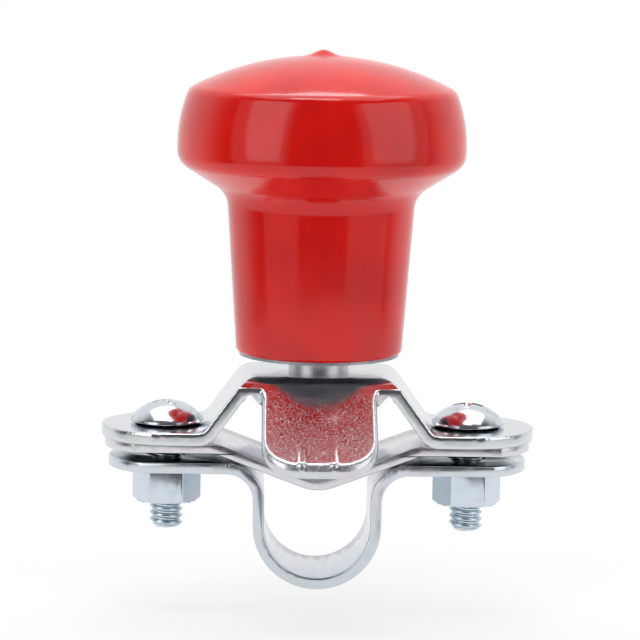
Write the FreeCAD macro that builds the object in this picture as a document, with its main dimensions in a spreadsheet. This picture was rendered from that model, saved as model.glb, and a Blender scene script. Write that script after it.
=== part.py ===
import FreeCAD, Part
import math
import os
import Sketcher

# Steering wheel spinner knob on a pressed steel clamp for a round rim.
# Row frame: origin at the centre of the strap's round rim seat, Z up along the
# knob's spin axis, X along the clamp towards a screw, Y along the wheel rim.
# Lengths are in millimetres and angles in degrees.

SIZES = {
    # Lower strap, bent from flat bar round the rim
    "seat_radius": 9.8,
    "strap_thick": 2.1,
    "strap_width": 20.0,
    "strap_bend": 5.0,
    "strap_ear_top": 11.6,
    "strap_span": 77.8,
    # Saddle, a shallow V that presses on the rim from above
    "strap_gap": 1.65,
    "saddle_thick": 1.9,
    "saddle_width": 20.0,
    "saddle_sag": 6.53,
    "saddle_nose": 6.7,
    "saddle_slope": 20.6,
    "saddle_bend": 6.0,
    "saddle_span": 79.3,
    # Top bracket, a cross-shaped pressing
    "plate_thick": 2.3,
    "bracket_width": 25.4,
    "bracket_span": 80.5,
    "bracket_rise": 10.2,
    "leg_slope": 54.0,
    "shoulder_place": 11.3,
    "shoulder_bend": 2.6,
    "foot_bend": 2.0,
    "tongue_width": 21.0,
    "tongue_slope": 35.0,
    "tongue_start": 8.8,
    "tongue_bend": 2.5,
    "tongue_reach": 29.5,
    "tongue_corner": 7.0,
    "wing_reach": 13.3,
    # Screws and nuts, quarter inch by twenty
    "screw_spacing": 56.14,
    "screw_hole": 7.1,
    "thread_dia": 6.2,
    "thread_fit": 0.07,
    "screw_length": 19.65,
    "screw_chamfer": 0.5,
    "head_dia": 13.6,
    "head_seat_dia": 11.6,
    "head_lip": 0.5,
    "head_rim": 0.4,
    "head_height": 4.3,
    "slot_width": 1.2,
    "slot_length": 6.6,
    "slot_depth": 2.0,
    "nut_flats": 11.1,
    "nut_height": 6.6,
    "nut_corner_angle": 30.0,
    "nut_cut_margin": 1.0,
    # Spindle riveted through the bracket
    "collar_dia": 11.1,
    "collar_height": 5.35,
    "tenon_dia": 9.0,
    "rivet_dia": 13.0,
    "rivet_height": 1.4,
    "rivet_slant": 1.5,
    "clip_groove_depth": 0.8,
    "spindle_end": 3.0,
    "spindle_chamfer": 0.8,
    # Ball bearings
    "bearing_bore": 8.0,
    "bearing_outside": 22.0,
    "bearing_height": 7.0,
    "inner_shoulder": 12.1,
    "outer_shoulder": 17.9,
    "pitch_dia": 15.0,
    "ball_dia": 3.97,
    "ball_count": 7,
    "race_gap": 0.04,
    "cage_inside": 13.2,
    "cage_outside": 16.8,
    "cage_back": 0.8,
    "cage_front": 0.4,
    "pocket_gap": 0.1,
    "bearing_distance": 22.0,
    "inner_spacer_wall": 1.5,
    "outer_spacer_wall": 1.4,
    "washer_dia": 13.0,
    "washer_thick": 1.0,
    "clip_dia": 12.0,
    "clip_thick": 0.9,
    "clip_relief": 0.9,
    "clip_mouth": 5.6,
    "clip_play": 0.05,
    "clip_relief_place": 120.0,
    "clip_relief_half": 32.0,
    # Base disc that closes the bearing bore
    "base_gap": 3.05,
    "disc_thick": 0.5,
    "disc_dia": 29.6,
    "disc_hole": 14.0,
    "spigot_wall": 1.6,
    # Mushroom knob
    "knob_base_dia": 30.8,
    "neck_dia": 34.9,
    "neck_height": 29.4,
    "flare_dia": 53.1,
    "flare_height": 35.2,
    "wall_radius": 28.0,
    "crown_edge_dia": 49.3,
    "crown_edge_height": 48.7,
    "crown_radius": 52.0,
    "neck_round": 5.0,
    "cap_round": 3.6,
    "crown_round": 2.8,
    "base_round": 0.8,
    "nipple_dia": 6.6,
    "nipple_tip_dia": 3.0,
    "nipple_height": 1.6,
    "nipple_flare": 3.0,
    "bore_end_gap": 1.5,
    "bore_end_dia": 16.0,
}

MARGIN = 5.0
ORIGIN = -1
V_AXIS = -2
START, END, CENTRE = 1, 2, 3
# Bodies whose crossing bends merge badly when coplanar faces are joined
UNREFINED = ("top_bracket",)

doc = FreeCAD.newDocument("spinner_knob")
sheet = doc.addObject("Spreadsheet::Sheet", "Sizes")
for row, (alias, number) in enumerate(SIZES.items(), start=1):
    sheet.set(f"A{row}", alias.replace("_", " "))
    sheet.set(f"B{row}", str(number))
    sheet.setAlias(f"B{row}", alias)
doc.recompute()


class Size:
    """A length, angle or count that knows its number and its spreadsheet expression."""

    def __init__(self, value, text):
        self.value = value
        self.text = text

    def combine(self, other, symbol, result):
        right = other.text if isinstance(other, Size) else repr(other)
        return Size(result, f"({self.text} {symbol} {right})")

    def __add__(self, other):
        return self.combine(other, "+", self.value + number_of(other))

    def __sub__(self, other):
        return self.combine(other, "-", self.value - number_of(other))

    def __mul__(self, other):
        return self.combine(other, "*", self.value * number_of(other))

    def __truediv__(self, other):
        return self.combine(other, "/", self.value / number_of(other))


def number_of(size):
    return size.value if isinstance(size, Size) else size


def size(alias):
    return Size(float(SIZES[alias]), f"Sizes.{alias}")


# Heights worked out from the stack of plates and bearings
STRAP_TOP = size("strap_ear_top")
SADDLE_TOP = STRAP_TOP + size("strap_gap") + size("saddle_thick")
EAR_TOP = SADDLE_TOP + size("plate_thick")
PLATE_TOP = EAR_TOP + size("bracket_rise")
PLATE_UNDER = PLATE_TOP - size("plate_thick")
SCREW_END = EAR_TOP - size("screw_length")
STRAP_UNDER = STRAP_TOP - size("strap_thick")
NUT_UNDER = STRAP_UNDER - size("nut_height")
DISC_UNDER = PLATE_TOP + size("base_gap")
KNOB_BASE = DISC_UNDER + size("disc_thick")
LOWER_BEARING = PLATE_TOP + size("collar_height")
UPPER_BEARING = LOWER_BEARING + size("bearing_distance")
STACK_TOP = UPPER_BEARING + size("bearing_height")
WASHER_TOP = STACK_TOP + size("washer_thick")
CLIP_BASE = WASHER_TOP + size("clip_play")
CLIP_TOP = CLIP_BASE + size("clip_thick")
SPINDLE_TOP = CLIP_TOP + size("spindle_end")
BORE_END = SPINDLE_TOP + size("bore_end_gap")
NECK_Z = KNOB_BASE + size("neck_height")
FLARE_Z = KNOB_BASE + size("flare_height")
CROWN_EDGE_Z = KNOB_BASE + size("crown_edge_height")
SCREW_X = size("screw_spacing") / 2
JOURNAL_RADIUS = size("bearing_bore") / 2
BORE_RADIUS = size("bearing_outside") / 2


def vector(x, y, z=0.0):
    return FreeCAD.Vector(x, y, z)


def origin_plane(body, role):
    """The named plane or axis of a body's own origin."""
    return next(item for item in body.Origin.OriginFeatures if item.Role == role)


def new_body(name):
    body = doc.addObject("PartDesign::Body", name)
    body.Label = name
    return body


def new_sketch(body, name, role, height=None):
    """A sketch on one of the body's own planes, raised to a height where one is given."""
    sketch = body.newObject("Sketcher::SketchObject", name)
    sketch.AttachmentSupport = (origin_plane(body, role), [""])
    sketch.MapMode = "FlatFace"
    if height is not None:
        sketch.AttachmentOffset.Base.z = height.value
        sketch.setExpression("AttachmentOffset.Base.z", height.text)
    return sketch


def dimension(sketch, kind, arguments, length):
    """Adds a driving dimension and ties it to the sheet."""
    value = math.radians(length.value) if kind == "Angle" else length.value
    index = sketch.addConstraint(Sketcher.Constraint(kind, *arguments, value))
    sketch.setExpression(f"Constraints[{index}]", length.text)


def place_point(sketch, item, end, x, y):
    """Dimensions a point from the sketch's origin; a coordinate of None lies on an axis."""
    if x is not None:
        dimension(sketch, "DistanceX", (ORIGIN, 1, item, end), x)
    if y is not None:
        dimension(sketch, "DistanceY", (ORIGIN, 1, item, end), y)


def add_line(sketch, begin, end):
    """A straight line as a chain item: its index, start mark and end mark."""
    return sketch.addGeometry(Part.LineSegment(begin, end), False), START, END


def close_chain(sketch, items, smooth=()):
    """Joins chain items end to start; smooth lists the items that end in a tangent joint."""
    joints = zip(items, items[1:] + items[:1])
    for place, ((item, _, last), (following, first, _)) in enumerate(joints):
        kind = "Tangent" if place in smooth else "Coincident"
        sketch.addConstraint(Sketcher.Constraint(kind, item, last, following, first))


def add_circle(sketch, centre, diameter):
    """A full circle with its diameter tied to the sheet."""
    item = sketch.addGeometry(Part.Circle(centre, vector(0, 0, 1), diameter.value / 2), False)
    dimension(sketch, "Diameter", (item,), diameter)
    return item


def polygon(sketch, points):
    """A closed run of straight lines through the given points."""
    items = [add_line(sketch, a, b) for a, b in zip(points, points[1:] + points[:1])]
    close_chain(sketch, items)
    return [item for item, _, _ in items]


def closed_outline(sketch, corners):
    """Straight lines round a list of corners, each corner a pair of sizes."""
    lines = polygon(sketch, [vector(number_of(x), number_of(y)) for x, y in corners])
    for line, (x, y) in zip(lines, corners):
        if isinstance(x, Size):
            dimension(sketch, "DistanceX", (ORIGIN, 1, line, START), x)
        else:
            sketch.addConstraint(Sketcher.Constraint("PointOnObject", line, START, V_AXIS))
        if isinstance(y, Size):
            dimension(sketch, "DistanceY", (ORIGIN, 1, line, START), y)
        else:
            sketch.addConstraint(Sketcher.Constraint("PointOnObject", line, START, ORIGIN))
    return lines


def settle(feature):
    """Recomputes and stops at a feature that came out empty or invalid."""
    feature.Refine = feature.getParentGeoFeatureGroup().Name not in UNREFINED
    doc.recompute()
    if feature.Shape.isNull() or not feature.Shape.isValid():
        raise RuntimeError(f"{feature.Name} has no valid shape: {feature.getStatusString()}")
    return feature


def revolve(body, sketch, name, kind="PartDesign::Revolution"):
    """Turns a profile a full circle about the body's Z axis."""
    turned = body.newObject(kind, name)
    turned.Profile = sketch
    turned.ReferenceAxis = (sketch, ["V_Axis"])
    turned.Angle = 360.0
    return settle(turned)


def turned_body(name, corners):
    """A body turned from one closed outline of radius and height pairs."""
    body = new_body(name)
    sketch = new_sketch(body, f"{name}_profile", "XZ_Plane")
    closed_outline(sketch, corners)
    revolve(body, sketch, f"{name}_turned")
    return body


def pad(body, sketch, name, length, side="Symmetric", reverse=False):
    """Pads a profile by a sheet size, to both sides or to one side of its plane."""
    feature = body.newObject("PartDesign::Pad", name)
    feature.Profile = sketch
    feature.Reversed = reverse
    feature.setExpression("Length", length.text)
    feature.Length = length.value
    feature.SideType = side
    return settle(feature)


def pocket_through(body, sketch, name):
    """Cuts a profile right through the body, to both sides of its plane."""
    before = body.Shape.Volume
    feature = body.newObject("PartDesign::Pocket", name)
    feature.Profile = sketch
    feature.Type = "ThroughAll"
    feature.SideType = "Symmetric"
    if not settle(feature).Shape.Volume < before:
        raise RuntimeError(f"{name} removes nothing")
    return feature


def mirror_body(body, name, role):
    """Doubles everything made so far about one of the body's planes."""
    feature = body.newObject("PartDesign::Mirrored", name)
    feature.MirrorPlane = (origin_plane(body, role), [""])
    feature.TransformMode = "Whole shape"
    body.Tip = feature
    return settle(feature)


def fillet_edges(body, name, radius, chosen):
    """Rounds the edges for which the test chosen(edge) is true."""
    base = body.Tip
    names = [f"Edge{i}" for i, edge in enumerate(base.Shape.Edges, start=1) if chosen(edge)]
    if not names:
        raise RuntimeError(f"{name} finds no edge")
    feature = body.newObject("PartDesign::Fillet", name)
    feature.Base = (base, names)
    feature.Radius = radius.value
    feature.setExpression("Radius", radius.text)
    return settle(feature)


def circle_edge(edge, radius, height):
    """Whether an edge is the level circle of that radius and height about the Z axis."""
    if not isinstance(edge.Curve, Part.Circle):
        return False
    near_axis = math.hypot(edge.Curve.Center.x, edge.Curve.Center.y) < 0.01
    right_radius = abs(edge.Curve.Radius - radius) < 0.01
    return near_axis and right_radius and abs(edge.Curve.Center.z - height) < 0.01


# Bent flat bar


def turn_right(vec):
    return vector(vec.y, -vec.x)


def arc_between(centre, radius, from_angle, turn):
    """An arc that starts at from_angle and turns by turn degrees, with its end marks."""
    low, high = sorted((from_angle, from_angle + turn))
    circle = Part.Circle(centre, vector(0, 0, 1), radius)
    arc = Part.ArcOfCircle(circle, math.radians(low), math.radians(high))
    return (arc, START, END) if turn > 0 else (arc, END, START)


def bent_bar(sketch, start_height, thick, pieces, start_place=None):
    """
    Draws a bent bar's side view outwards, from the symmetry line or from start_place.

    The upper face starts level at start_height. pieces holds ("run", length) and
    ("bend", inner radius size, turn) entries, with a turn in degrees, up when positive.
    Returns the upper and the lower face as lists of chain items.
    """
    point = vector(number_of(start_place or 0.0), start_height.value)
    heading = 0.0
    upper, lower, bends = [], [], []
    for kind, amount, *rest in pieces:
        ahead = vector(math.cos(math.radians(heading)), math.sin(math.radians(heading)))
        down = turn_right(ahead) * thick.value
        if kind == "run":
            far = point + ahead * amount
            upper.append(add_line(sketch, point, far))
            lower.append(add_line(sketch, point + down, far + down))
            point = far
            continue
        turn = rest[0]
        upper_radius = amount if turn > 0 else amount + thick
        lower_radius = amount + thick if turn > 0 else amount
        side = -1.0 if turn > 0 else 1.0
        centre = point + turn_right(ahead) * (side * upper_radius.value)
        from_angle = heading - 90.0 if turn > 0 else heading + 90.0
        for face, radius in ((upper, upper_radius), (lower, lower_radius)):
            arc, first, last = arc_between(centre, radius.value, from_angle, turn)
            face.append((sketch.addGeometry(arc, False), first, last))
        bends.append((upper[-1][0], upper_radius, lower[-1][0], lower_radius))
        end_angle = math.radians(from_angle + turn)
        point = centre + vector(math.cos(end_angle), math.sin(end_angle)) * upper_radius.value
        heading += turn
    join_faces(sketch, upper, lower, bends, start_place is None)
    return upper, lower


def join_faces(sketch, upper, lower, bends, on_axis):
    """Ties the two faces of a bent bar into one closed tangent outline."""
    for face in (upper, lower):
        for (item, _, last), (following, first, _) in zip(face, face[1:]):
            sketch.addConstraint(Sketcher.Constraint("Tangent", item, last, following, first))
    for upper_arc, upper_radius, lower_arc, lower_radius in bends:
        sketch.addConstraint(Sketcher.Constraint("Coincident", upper_arc, CENTRE, lower_arc, CENTRE))
        dimension(sketch, "Radius", (upper_arc,), upper_radius)
        dimension(sketch, "Radius", (lower_arc,), lower_radius)
    for place, mark in ((0, 1), (-1, 2)):
        top, bottom = upper[place], lower[place]
        ends = [sketch.getPoint(face[0], face[mark]) for face in (top, bottom)]
        cap, _, _ = add_line(sketch, *ends)
        sketch.addConstraint(Sketcher.Constraint("Coincident", top[0], top[mark], cap, START))
        sketch.addConstraint(Sketcher.Constraint("Coincident", bottom[0], bottom[mark], cap, END))
        if place == -1:
            sketch.addConstraint(Sketcher.Constraint("Perpendicular", cap, top[0]))
        elif on_axis:
            sketch.addConstraint(Sketcher.Constraint("PointOnObject", cap, START, V_AXIS))
            sketch.addConstraint(Sketcher.Constraint("PointOnObject", cap, END, V_AXIS))
        else:
            sketch.addConstraint(Sketcher.Constraint("Vertical", cap))


def level(sketch, *items):
    for item in items:
        sketch.addConstraint(Sketcher.Constraint("Horizontal", item[0]))


def slope_run(drop, slope, bend_a, bend_b):
    """Length of the straight run between two equal and opposite bends of given upper radii."""
    turn = math.radians(slope)
    return (drop - (bend_a + bend_b) * (1.0 - math.cos(turn))) / math.sin(turn)


def bend_reach(slope, bend_a, bend_b, run):
    """Horizontal reach of such a pair of bends with the run between them."""
    turn = math.radians(slope)
    return (bend_a + bend_b) * math.sin(turn) + run * math.cos(turn)


def round_ear(body, name, centre, radius, side_reach):
    """Trims the outer end of a half bar to an arc, seen from above."""
    sketch = new_sketch(body, f"{name}_outline", "XY_Plane")
    x, r = centre.value, radius.value
    far_x = x + r + MARGIN
    far_y = max(r, side_reach.value) + MARGIN
    arc = Part.ArcOfCircle(Part.Circle(vector(x, 0), vector(0, 0, 1), r), 0.0, math.pi / 2)
    curve = sketch.addGeometry(arc, False)
    corners = [vector(x, r), vector(x, far_y), vector(far_x, far_y), vector(far_x, 0), vector(x + r, 0)]
    lines = [add_line(sketch, a, b) for a, b in zip(corners, corners[1:])]
    close_chain(sketch, [(curve, START, END)] + lines)
    for (line, _, _), kind in zip(lines, ("Vertical", "Horizontal", "Vertical", "Horizontal")):
        sketch.addConstraint(Sketcher.Constraint(kind, line))
    sketch.addConstraint(Sketcher.Constraint("PointOnObject", curve, CENTRE, ORIGIN))
    sketch.addConstraint(Sketcher.Constraint("PointOnObject", curve, START, ORIGIN))
    sketch.addConstraint(Sketcher.Constraint("Vertical", curve, CENTRE, curve, END))
    dimension(sketch, "DistanceX", (ORIGIN, 1, curve, CENTRE), centre)
    dimension(sketch, "Radius", (curve,), radius)
    pocket_through(body, sketch, f"{name}_round")


def screw_holes(body, name):
    """Drills the two screw holes."""
    sketch = new_sketch(body, f"{name}_hole_places", "XY_Plane")
    for side in (-1.0, 1.0):
        hole = add_circle(sketch, vector(side * SCREW_X.value, 0), size("screw_hole"))
        sketch.addConstraint(Sketcher.Constraint("PointOnObject", hole, CENTRE, ORIGIN))
        ends = (ORIGIN, 1, hole, CENTRE) if side > 0 else (hole, CENTRE, ORIGIN, 1)
        dimension(sketch, "DistanceX", ends, SCREW_X)
    pocket_through(body, sketch, f"{name}_holes")


def half_bar(name, start_height, thick, pieces):
    """A body with half of a bent bar's side view, and its upper and lower items."""
    body = new_body(name)
    sketch = new_sketch(body, f"{name}_profile", "XZ_Plane")
    upper, lower = bent_bar(sketch, start_height, thick, pieces)
    return body, sketch, upper, lower


def quarter_bar(body, sketch, name, half_width, ear_centre, ear_radius):
    """Pads one quarter of a bent bar and rounds its ear."""
    pad(body, sketch, f"{name}_bar", half_width, "One side", True)
    round_ear(body, name, ear_centre, ear_radius, half_width)


def whole_bar(body, name):
    """Mirrors a quarter bar to the whole and drills its screw holes."""
    mirror_body(body, f"{name}_sides", "YZ_Plane")
    mirror_body(body, f"{name}_ends", "XZ_Plane")
    screw_holes(body, name)


def finish_bar(body, sketch, name, half_width, ear_centre, ear_radius):
    """Makes a plain bent bar from its half side view."""
    quarter_bar(body, sketch, name, half_width, ear_centre, ear_radius)
    whole_bar(body, name)


def make_strap():
    """Lower strap: half-round seat, two upright legs and two ears."""
    inner, thick, bend = size("seat_radius"), size("strap_thick"), size("strap_bend")
    start = Size(-inner.value, f"(0 - {inner.text})")
    upright = STRAP_TOP.value - thick.value - bend.value
    ear_start = inner.value + thick.value + bend.value
    span = size("strap_span") / 2
    pieces = [
        ("bend", inner, 90.0),
        ("run", upright),
        ("bend", bend, -90.0),
        ("run", span.value - ear_start),
    ]
    body, sketch, upper, lower = half_bar("u_strap", start, thick, pieces)
    sketch.addConstraint(Sketcher.Constraint("PointOnObject", upper[0][0], CENTRE, ORIGIN))
    sketch.addConstraint(Sketcher.Constraint("PointOnObject", upper[0][0], CENTRE, V_AXIS))
    sketch.addConstraint(Sketcher.Constraint("Vertical", upper[1][0]))
    level(sketch, upper[3], lower[3])
    place_point(sketch, upper[3][0], END, span, STRAP_TOP)
    finish_bar(body, sketch, "u_strap", size("strap_width") / 2, SCREW_X, span - SCREW_X)
    return body


def make_saddle():
    """Saddle plate: a round-nosed V between two flat ears."""
    thick, nose, bend = size("saddle_thick"), size("saddle_nose"), size("saddle_bend")
    slope = size("saddle_slope")
    lowest = SADDLE_TOP - size("saddle_sag")
    upper_bend = bend.value + thick.value
    run = slope_run(size("saddle_sag").value, slope.value, nose.value, upper_bend)
    reach = bend_reach(slope.value, nose.value, upper_bend, run)
    span = size("saddle_span") / 2
    pieces = [
        ("bend", nose, slope.value),
        ("run", run),
        ("bend", bend, -slope.value),
        ("run", span.value - reach),
    ]
    body, sketch, upper, lower = half_bar("saddle_plate", lowest, thick, pieces)
    sketch.addConstraint(Sketcher.Constraint("PointOnObject", upper[0][0], CENTRE, V_AXIS))
    dimension(sketch, "DistanceY", (ORIGIN, 1, upper[0][0], upper[0][1]), lowest)
    dimension(sketch, "Angle", (upper[1][0],), slope)
    level(sketch, upper[3], lower[3])
    place_point(sketch, upper[3][0], END, span, SADDLE_TOP)
    finish_bar(body, sketch, "saddle", size("saddle_width") / 2, SCREW_X, span - SCREW_X)
    return body


def cut_above_bend(body, name, role, root, radius, slope, run):
    """
    Trims what stands above a bend in the plate and above the slope beyond it.

    The bend starts at root on the plate's top and has the given outer radius; run is
    the length of the slope that the cut follows.
    """
    sketch = new_sketch(body, f"{name}_profile", role)
    centre = vector(root.value, PLATE_TOP.value - radius.value)
    turn = math.radians(slope.value)
    tangent = centre + vector(math.sin(turn), math.cos(turn)) * radius.value
    far = tangent + vector(math.cos(turn), -math.sin(turn)) * run.value
    high = PLATE_TOP.value + MARGIN
    arc, first, last = arc_between(centre, radius.value, 90.0, -slope.value)
    curve = (sketch.addGeometry(arc, False), first, last)
    corners = [tangent, far, vector(far.x, high), vector(root.value, high)]
    corners.append(vector(root.value, PLATE_TOP.value))
    lines = [add_line(sketch, a, b) for a, b in zip(corners, corners[1:])]
    close_chain(sketch, [curve] + lines, smooth=(0,))
    place_point(sketch, curve[0], CENTRE, root, PLATE_TOP - radius)
    sketch.addConstraint(Sketcher.Constraint("Vertical", curve[0], CENTRE, curve[0], first))
    dimension(sketch, "Radius", (curve[0],), radius)
    dimension(sketch, "Angle", (lines[0][0],), Size(-slope.value, f"(0 - {slope.text})"))
    for (line, _, _), kind in zip(lines[1:], ("Vertical", "Horizontal", "Vertical")):
        sketch.addConstraint(Sketcher.Constraint(kind, line))
    pocket_through(body, sketch, f"{name}_cut")


def add_tongue(body):
    """Bends the plate's margin down and carries it on as a tongue."""
    root, reach, slope = size("tongue_start"), size("tongue_reach"), size("tongue_slope")
    thick, bend, wing = size("plate_thick"), size("tongue_bend"), size("wing_reach")
    shoulder = size("shoulder_place")
    half_width = size("bracket_width") / 2
    half_tongue = size("tongue_width") / 2
    cut_above_bend(body, "margin", "YZ_Plane", root, bend + thick, slope, half_width)
    space = new_sketch(body, "tongue_space", "XY_Plane")
    far = half_width + MARGIN
    closed_outline(space, [(0, root), (shoulder, root), (shoulder, far), (0, far)])
    pocket_through(body, space, "tongue_space_cut")

    profile = new_sketch(body, "tongue_profile", "YZ_Plane")
    turn = math.radians(slope.value)
    length = (reach.value - root.value - (bend.value + thick.value) * math.sin(turn)) / math.cos(turn)
    upper, lower = bent_bar(
        profile, PLATE_TOP, thick, [("bend", bend, -slope.value), ("run", length)], root
    )
    profile.addConstraint(Sketcher.Constraint("Vertical", upper[0][0], CENTRE, upper[0][0], upper[0][1]))
    place_point(profile, upper[0][0], upper[0][1], root, PLATE_TOP)
    dimension(profile, "Angle", (upper[1][0],), Size(-slope.value, f"(0 - {slope.text})"))
    place_point(profile, upper[1][0], END, reach, None)
    pad(body, profile, "tongue_bar", wing, "One side")
    cut_above_bend(
        body, "shoulder", "XZ_Plane", shoulder, size("shoulder_bend") + thick, size("leg_slope"), thick * 2
    )

    side = new_sketch(body, "tongue_side", "XY_Plane")
    beyond = reach + MARGIN
    closed_outline(
        side,
        [(half_tongue, half_width), (far, half_width), (far, beyond), (half_tongue, beyond)],
    )
    pocket_through(body, side, "tongue_side_cut")

    def tip_corner(edge):
        middle = edge.CenterOfMass
        at_side = abs(middle.x - half_tongue.value) < 0.01
        return at_side and abs(edge.Length - thick.value) < 0.01 and middle.y > reach.value - thick.value

    fillet_edges(body, "tongue_rounding", size("tongue_corner"), tip_corner)


def make_bracket():
    """Top bracket: plate, two side legs with ears, and a tongue front and back."""
    thick, slope = size("plate_thick"), size("leg_slope")
    shoulder, foot = size("shoulder_bend"), size("foot_bend")
    place = size("shoulder_place")
    outer = shoulder.value + thick.value
    run = slope_run(size("bracket_rise").value, slope.value, outer, foot.value)
    foot_end = place.value + bend_reach(slope.value, outer, foot.value, run)
    span = size("bracket_span") / 2
    half_width = size("bracket_width") / 2
    pieces = [
        ("run", place.value),
        ("bend", shoulder, -slope.value),
        ("run", run),
        ("bend", foot, slope.value),
        ("run", span.value - foot_end),
    ]
    body, sketch, upper, lower = half_bar("top_bracket", PLATE_TOP, thick, pieces)
    level(sketch, upper[0], lower[0], upper[4], lower[4])
    dimension(sketch, "DistanceY", (ORIGIN, 1, upper[0][0], START), PLATE_TOP)
    dimension(sketch, "DistanceX", (ORIGIN, 1, upper[1][0], CENTRE), place)
    dimension(sketch, "Angle", (upper[2][0],), Size(-slope.value, f"(0 - {slope.text})"))
    place_point(sketch, upper[4][0], END, span, EAR_TOP)
    quarter_bar(body, sketch, "bracket", half_width, span - half_width, half_width)
    add_tongue(body)
    whole_bar(body, "bracket")
    tenon = new_sketch(body, "tenon_hole_place", "XY_Plane")
    hole = add_circle(tenon, vector(0, 0), size("tenon_dia"))
    tenon.addConstraint(Sketcher.Constraint("Coincident", hole, CENTRE, ORIGIN, 1))
    pocket_through(body, tenon, "tenon_hole")
    return body


# Fasteners


def make_screw(name, side):
    """Truss-head screw with a cross recess, standing in its hole from above."""
    head_radius = size("head_dia") / 2
    seat_radius = size("head_seat_dia") / 2
    shank = size("thread_dia") / 2
    lip = EAR_TOP + size("head_lip")
    rim = lip + size("head_rim")
    crown = EAR_TOP + size("head_height")
    body = new_body(name)
    sketch = new_sketch(body, f"{name}_profile", "XZ_Plane")
    corners = [
        (0, SCREW_END),
        (shank - size("screw_chamfer"), SCREW_END),
        (shank, SCREW_END + size("screw_chamfer")),
        (shank, EAR_TOP),
        (seat_radius, EAR_TOP),
        (head_radius, lip),
        (head_radius, rim),
        (0, crown),
    ]
    points = [vector(number_of(x), y.value) for x, y in corners]
    items = []
    for a, b in zip(points[:-2], points[1:-1]):
        items.append(add_line(sketch, a, b))
    dome_height = crown.value - rim.value
    dome = (head_radius.value ** 2 + dome_height ** 2) / (2.0 * dome_height)
    centre = vector(0, crown.value - dome)
    begin = math.atan2(rim.value - centre.y, head_radius.value)
    circle = Part.Circle(centre, vector(0, 0, 1), dome)
    items.append((sketch.addGeometry(Part.ArcOfCircle(circle, begin, math.pi / 2), False), START, END))
    items.append(add_line(sketch, points[-1], points[0]))
    close_chain(sketch, items)
    for (item, _, _), (x, y) in zip(items, corners):
        if isinstance(x, Size):
            place_point(sketch, item, START, x, y)
        else:
            sketch.addConstraint(Sketcher.Constraint("PointOnObject", item, START, V_AXIS))
            dimension(sketch, "DistanceY", (ORIGIN, 1, item, START), y)
    sketch.addConstraint(Sketcher.Constraint("PointOnObject", items[-2][0], CENTRE, V_AXIS))
    revolve(body, sketch, f"{name}_turned")
    recess = new_sketch(body, f"{name}_recess_outline", "XY_Plane", crown - size("slot_depth"))
    cross_outline(recess, size("slot_length") / 2, size("slot_width") / 2)
    cut = body.newObject("PartDesign::Pocket", f"{name}_recess")
    cut.Profile = recess
    cut.Reversed = True
    cut.Length = size("slot_depth").value
    cut.setExpression("Length", size("slot_depth").text)
    doc.recompute()
    body.Placement.Base.x = side * SCREW_X.value
    body.setExpression("Placement.Base.x", f"{side} * {SCREW_X.text}")
    return body


def cross_outline(sketch, reach, half):
    """A plus-shaped outline with arms of the given reach and half width."""
    r, w = reach.value, half.value
    corners = [(w, w), (w, r), (-w, r), (-w, w), (-r, w), (-r, -w)]
    corners += [(-x, -y) for x, y in corners]
    lines = polygon(sketch, [vector(*corner) for corner in corners])
    for line, (x, y) in zip(lines, corners):
        across = reach if abs(x) > w else half
        along = reach if abs(y) > w else half
        x_ends = (ORIGIN, 1, line, START) if x > 0 else (line, START, ORIGIN, 1)
        y_ends = (ORIGIN, 1, line, START) if y > 0 else (line, START, ORIGIN, 1)
        dimension(sketch, "DistanceX", x_ends, across)
        dimension(sketch, "DistanceY", y_ends, along)


def make_nut(name, side):
    """Hexagon nut with both ends chamfered, flush under the strap's ear."""
    flats = size("nut_flats")
    corner = flats * (1.0 / math.sqrt(3.0))
    corner_radius = corner.value
    body = new_body(name)
    sketch = new_sketch(body, f"{name}_hexagon", "XY_Plane", NUT_UNDER)
    points = [
        vector(corner_radius * math.cos(turn), corner_radius * math.sin(turn))
        for turn in (math.radians(60.0 * place) for place in range(6))
    ]
    lines = polygon(sketch, points)
    for line in lines[1:]:
        sketch.addConstraint(Sketcher.Constraint("Equal", lines[0], line))
    ring = sketch.addGeometry(Part.Circle(vector(0, 0), vector(0, 0, 1), corner_radius), True)
    sketch.addConstraint(Sketcher.Constraint("Coincident", ring, CENTRE, ORIGIN, 1))
    for line in lines:
        sketch.addConstraint(Sketcher.Constraint("PointOnObject", line, START, ring))
    sketch.addConstraint(Sketcher.Constraint("PointOnObject", lines[0], START, ORIGIN))
    dimension(sketch, "Diameter", (ring,), corner * 2)
    bore = add_circle(sketch, vector(0, 0), size("thread_dia") + size("thread_fit") * 2)
    sketch.addConstraint(Sketcher.Constraint("Coincident", bore, CENTRE, ORIGIN, 1))
    pad(body, sketch, f"{name}_blank", size("nut_height"), "One side")
    cut_radius = corner + size("nut_cut_margin")
    fall = size("nut_corner_angle")
    steepness = Size(math.tan(math.radians(fall.value)), f"tan({fall.text} * 1 deg)")
    drop = (cut_radius - flats / 2) * steepness
    chamfers = (("top", STRAP_UNDER, STRAP_UNDER - drop), ("foot", NUT_UNDER, NUT_UNDER + drop))
    for end, height, tip in chamfers:
        profile = new_sketch(body, f"{name}_{end}_chamfer_profile", "XZ_Plane")
        closed_outline(profile, [(flats / 2, height), (cut_radius, height), (cut_radius, tip)])
        revolve(body, profile, f"{name}_{end}_chamfer", "PartDesign::Groove")
    body.Placement.Base.x = side * SCREW_X.value
    body.setExpression("Placement.Base.x", f"{side} * {SCREW_X.text}")
    return body


# Spindle and bearings


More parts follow.
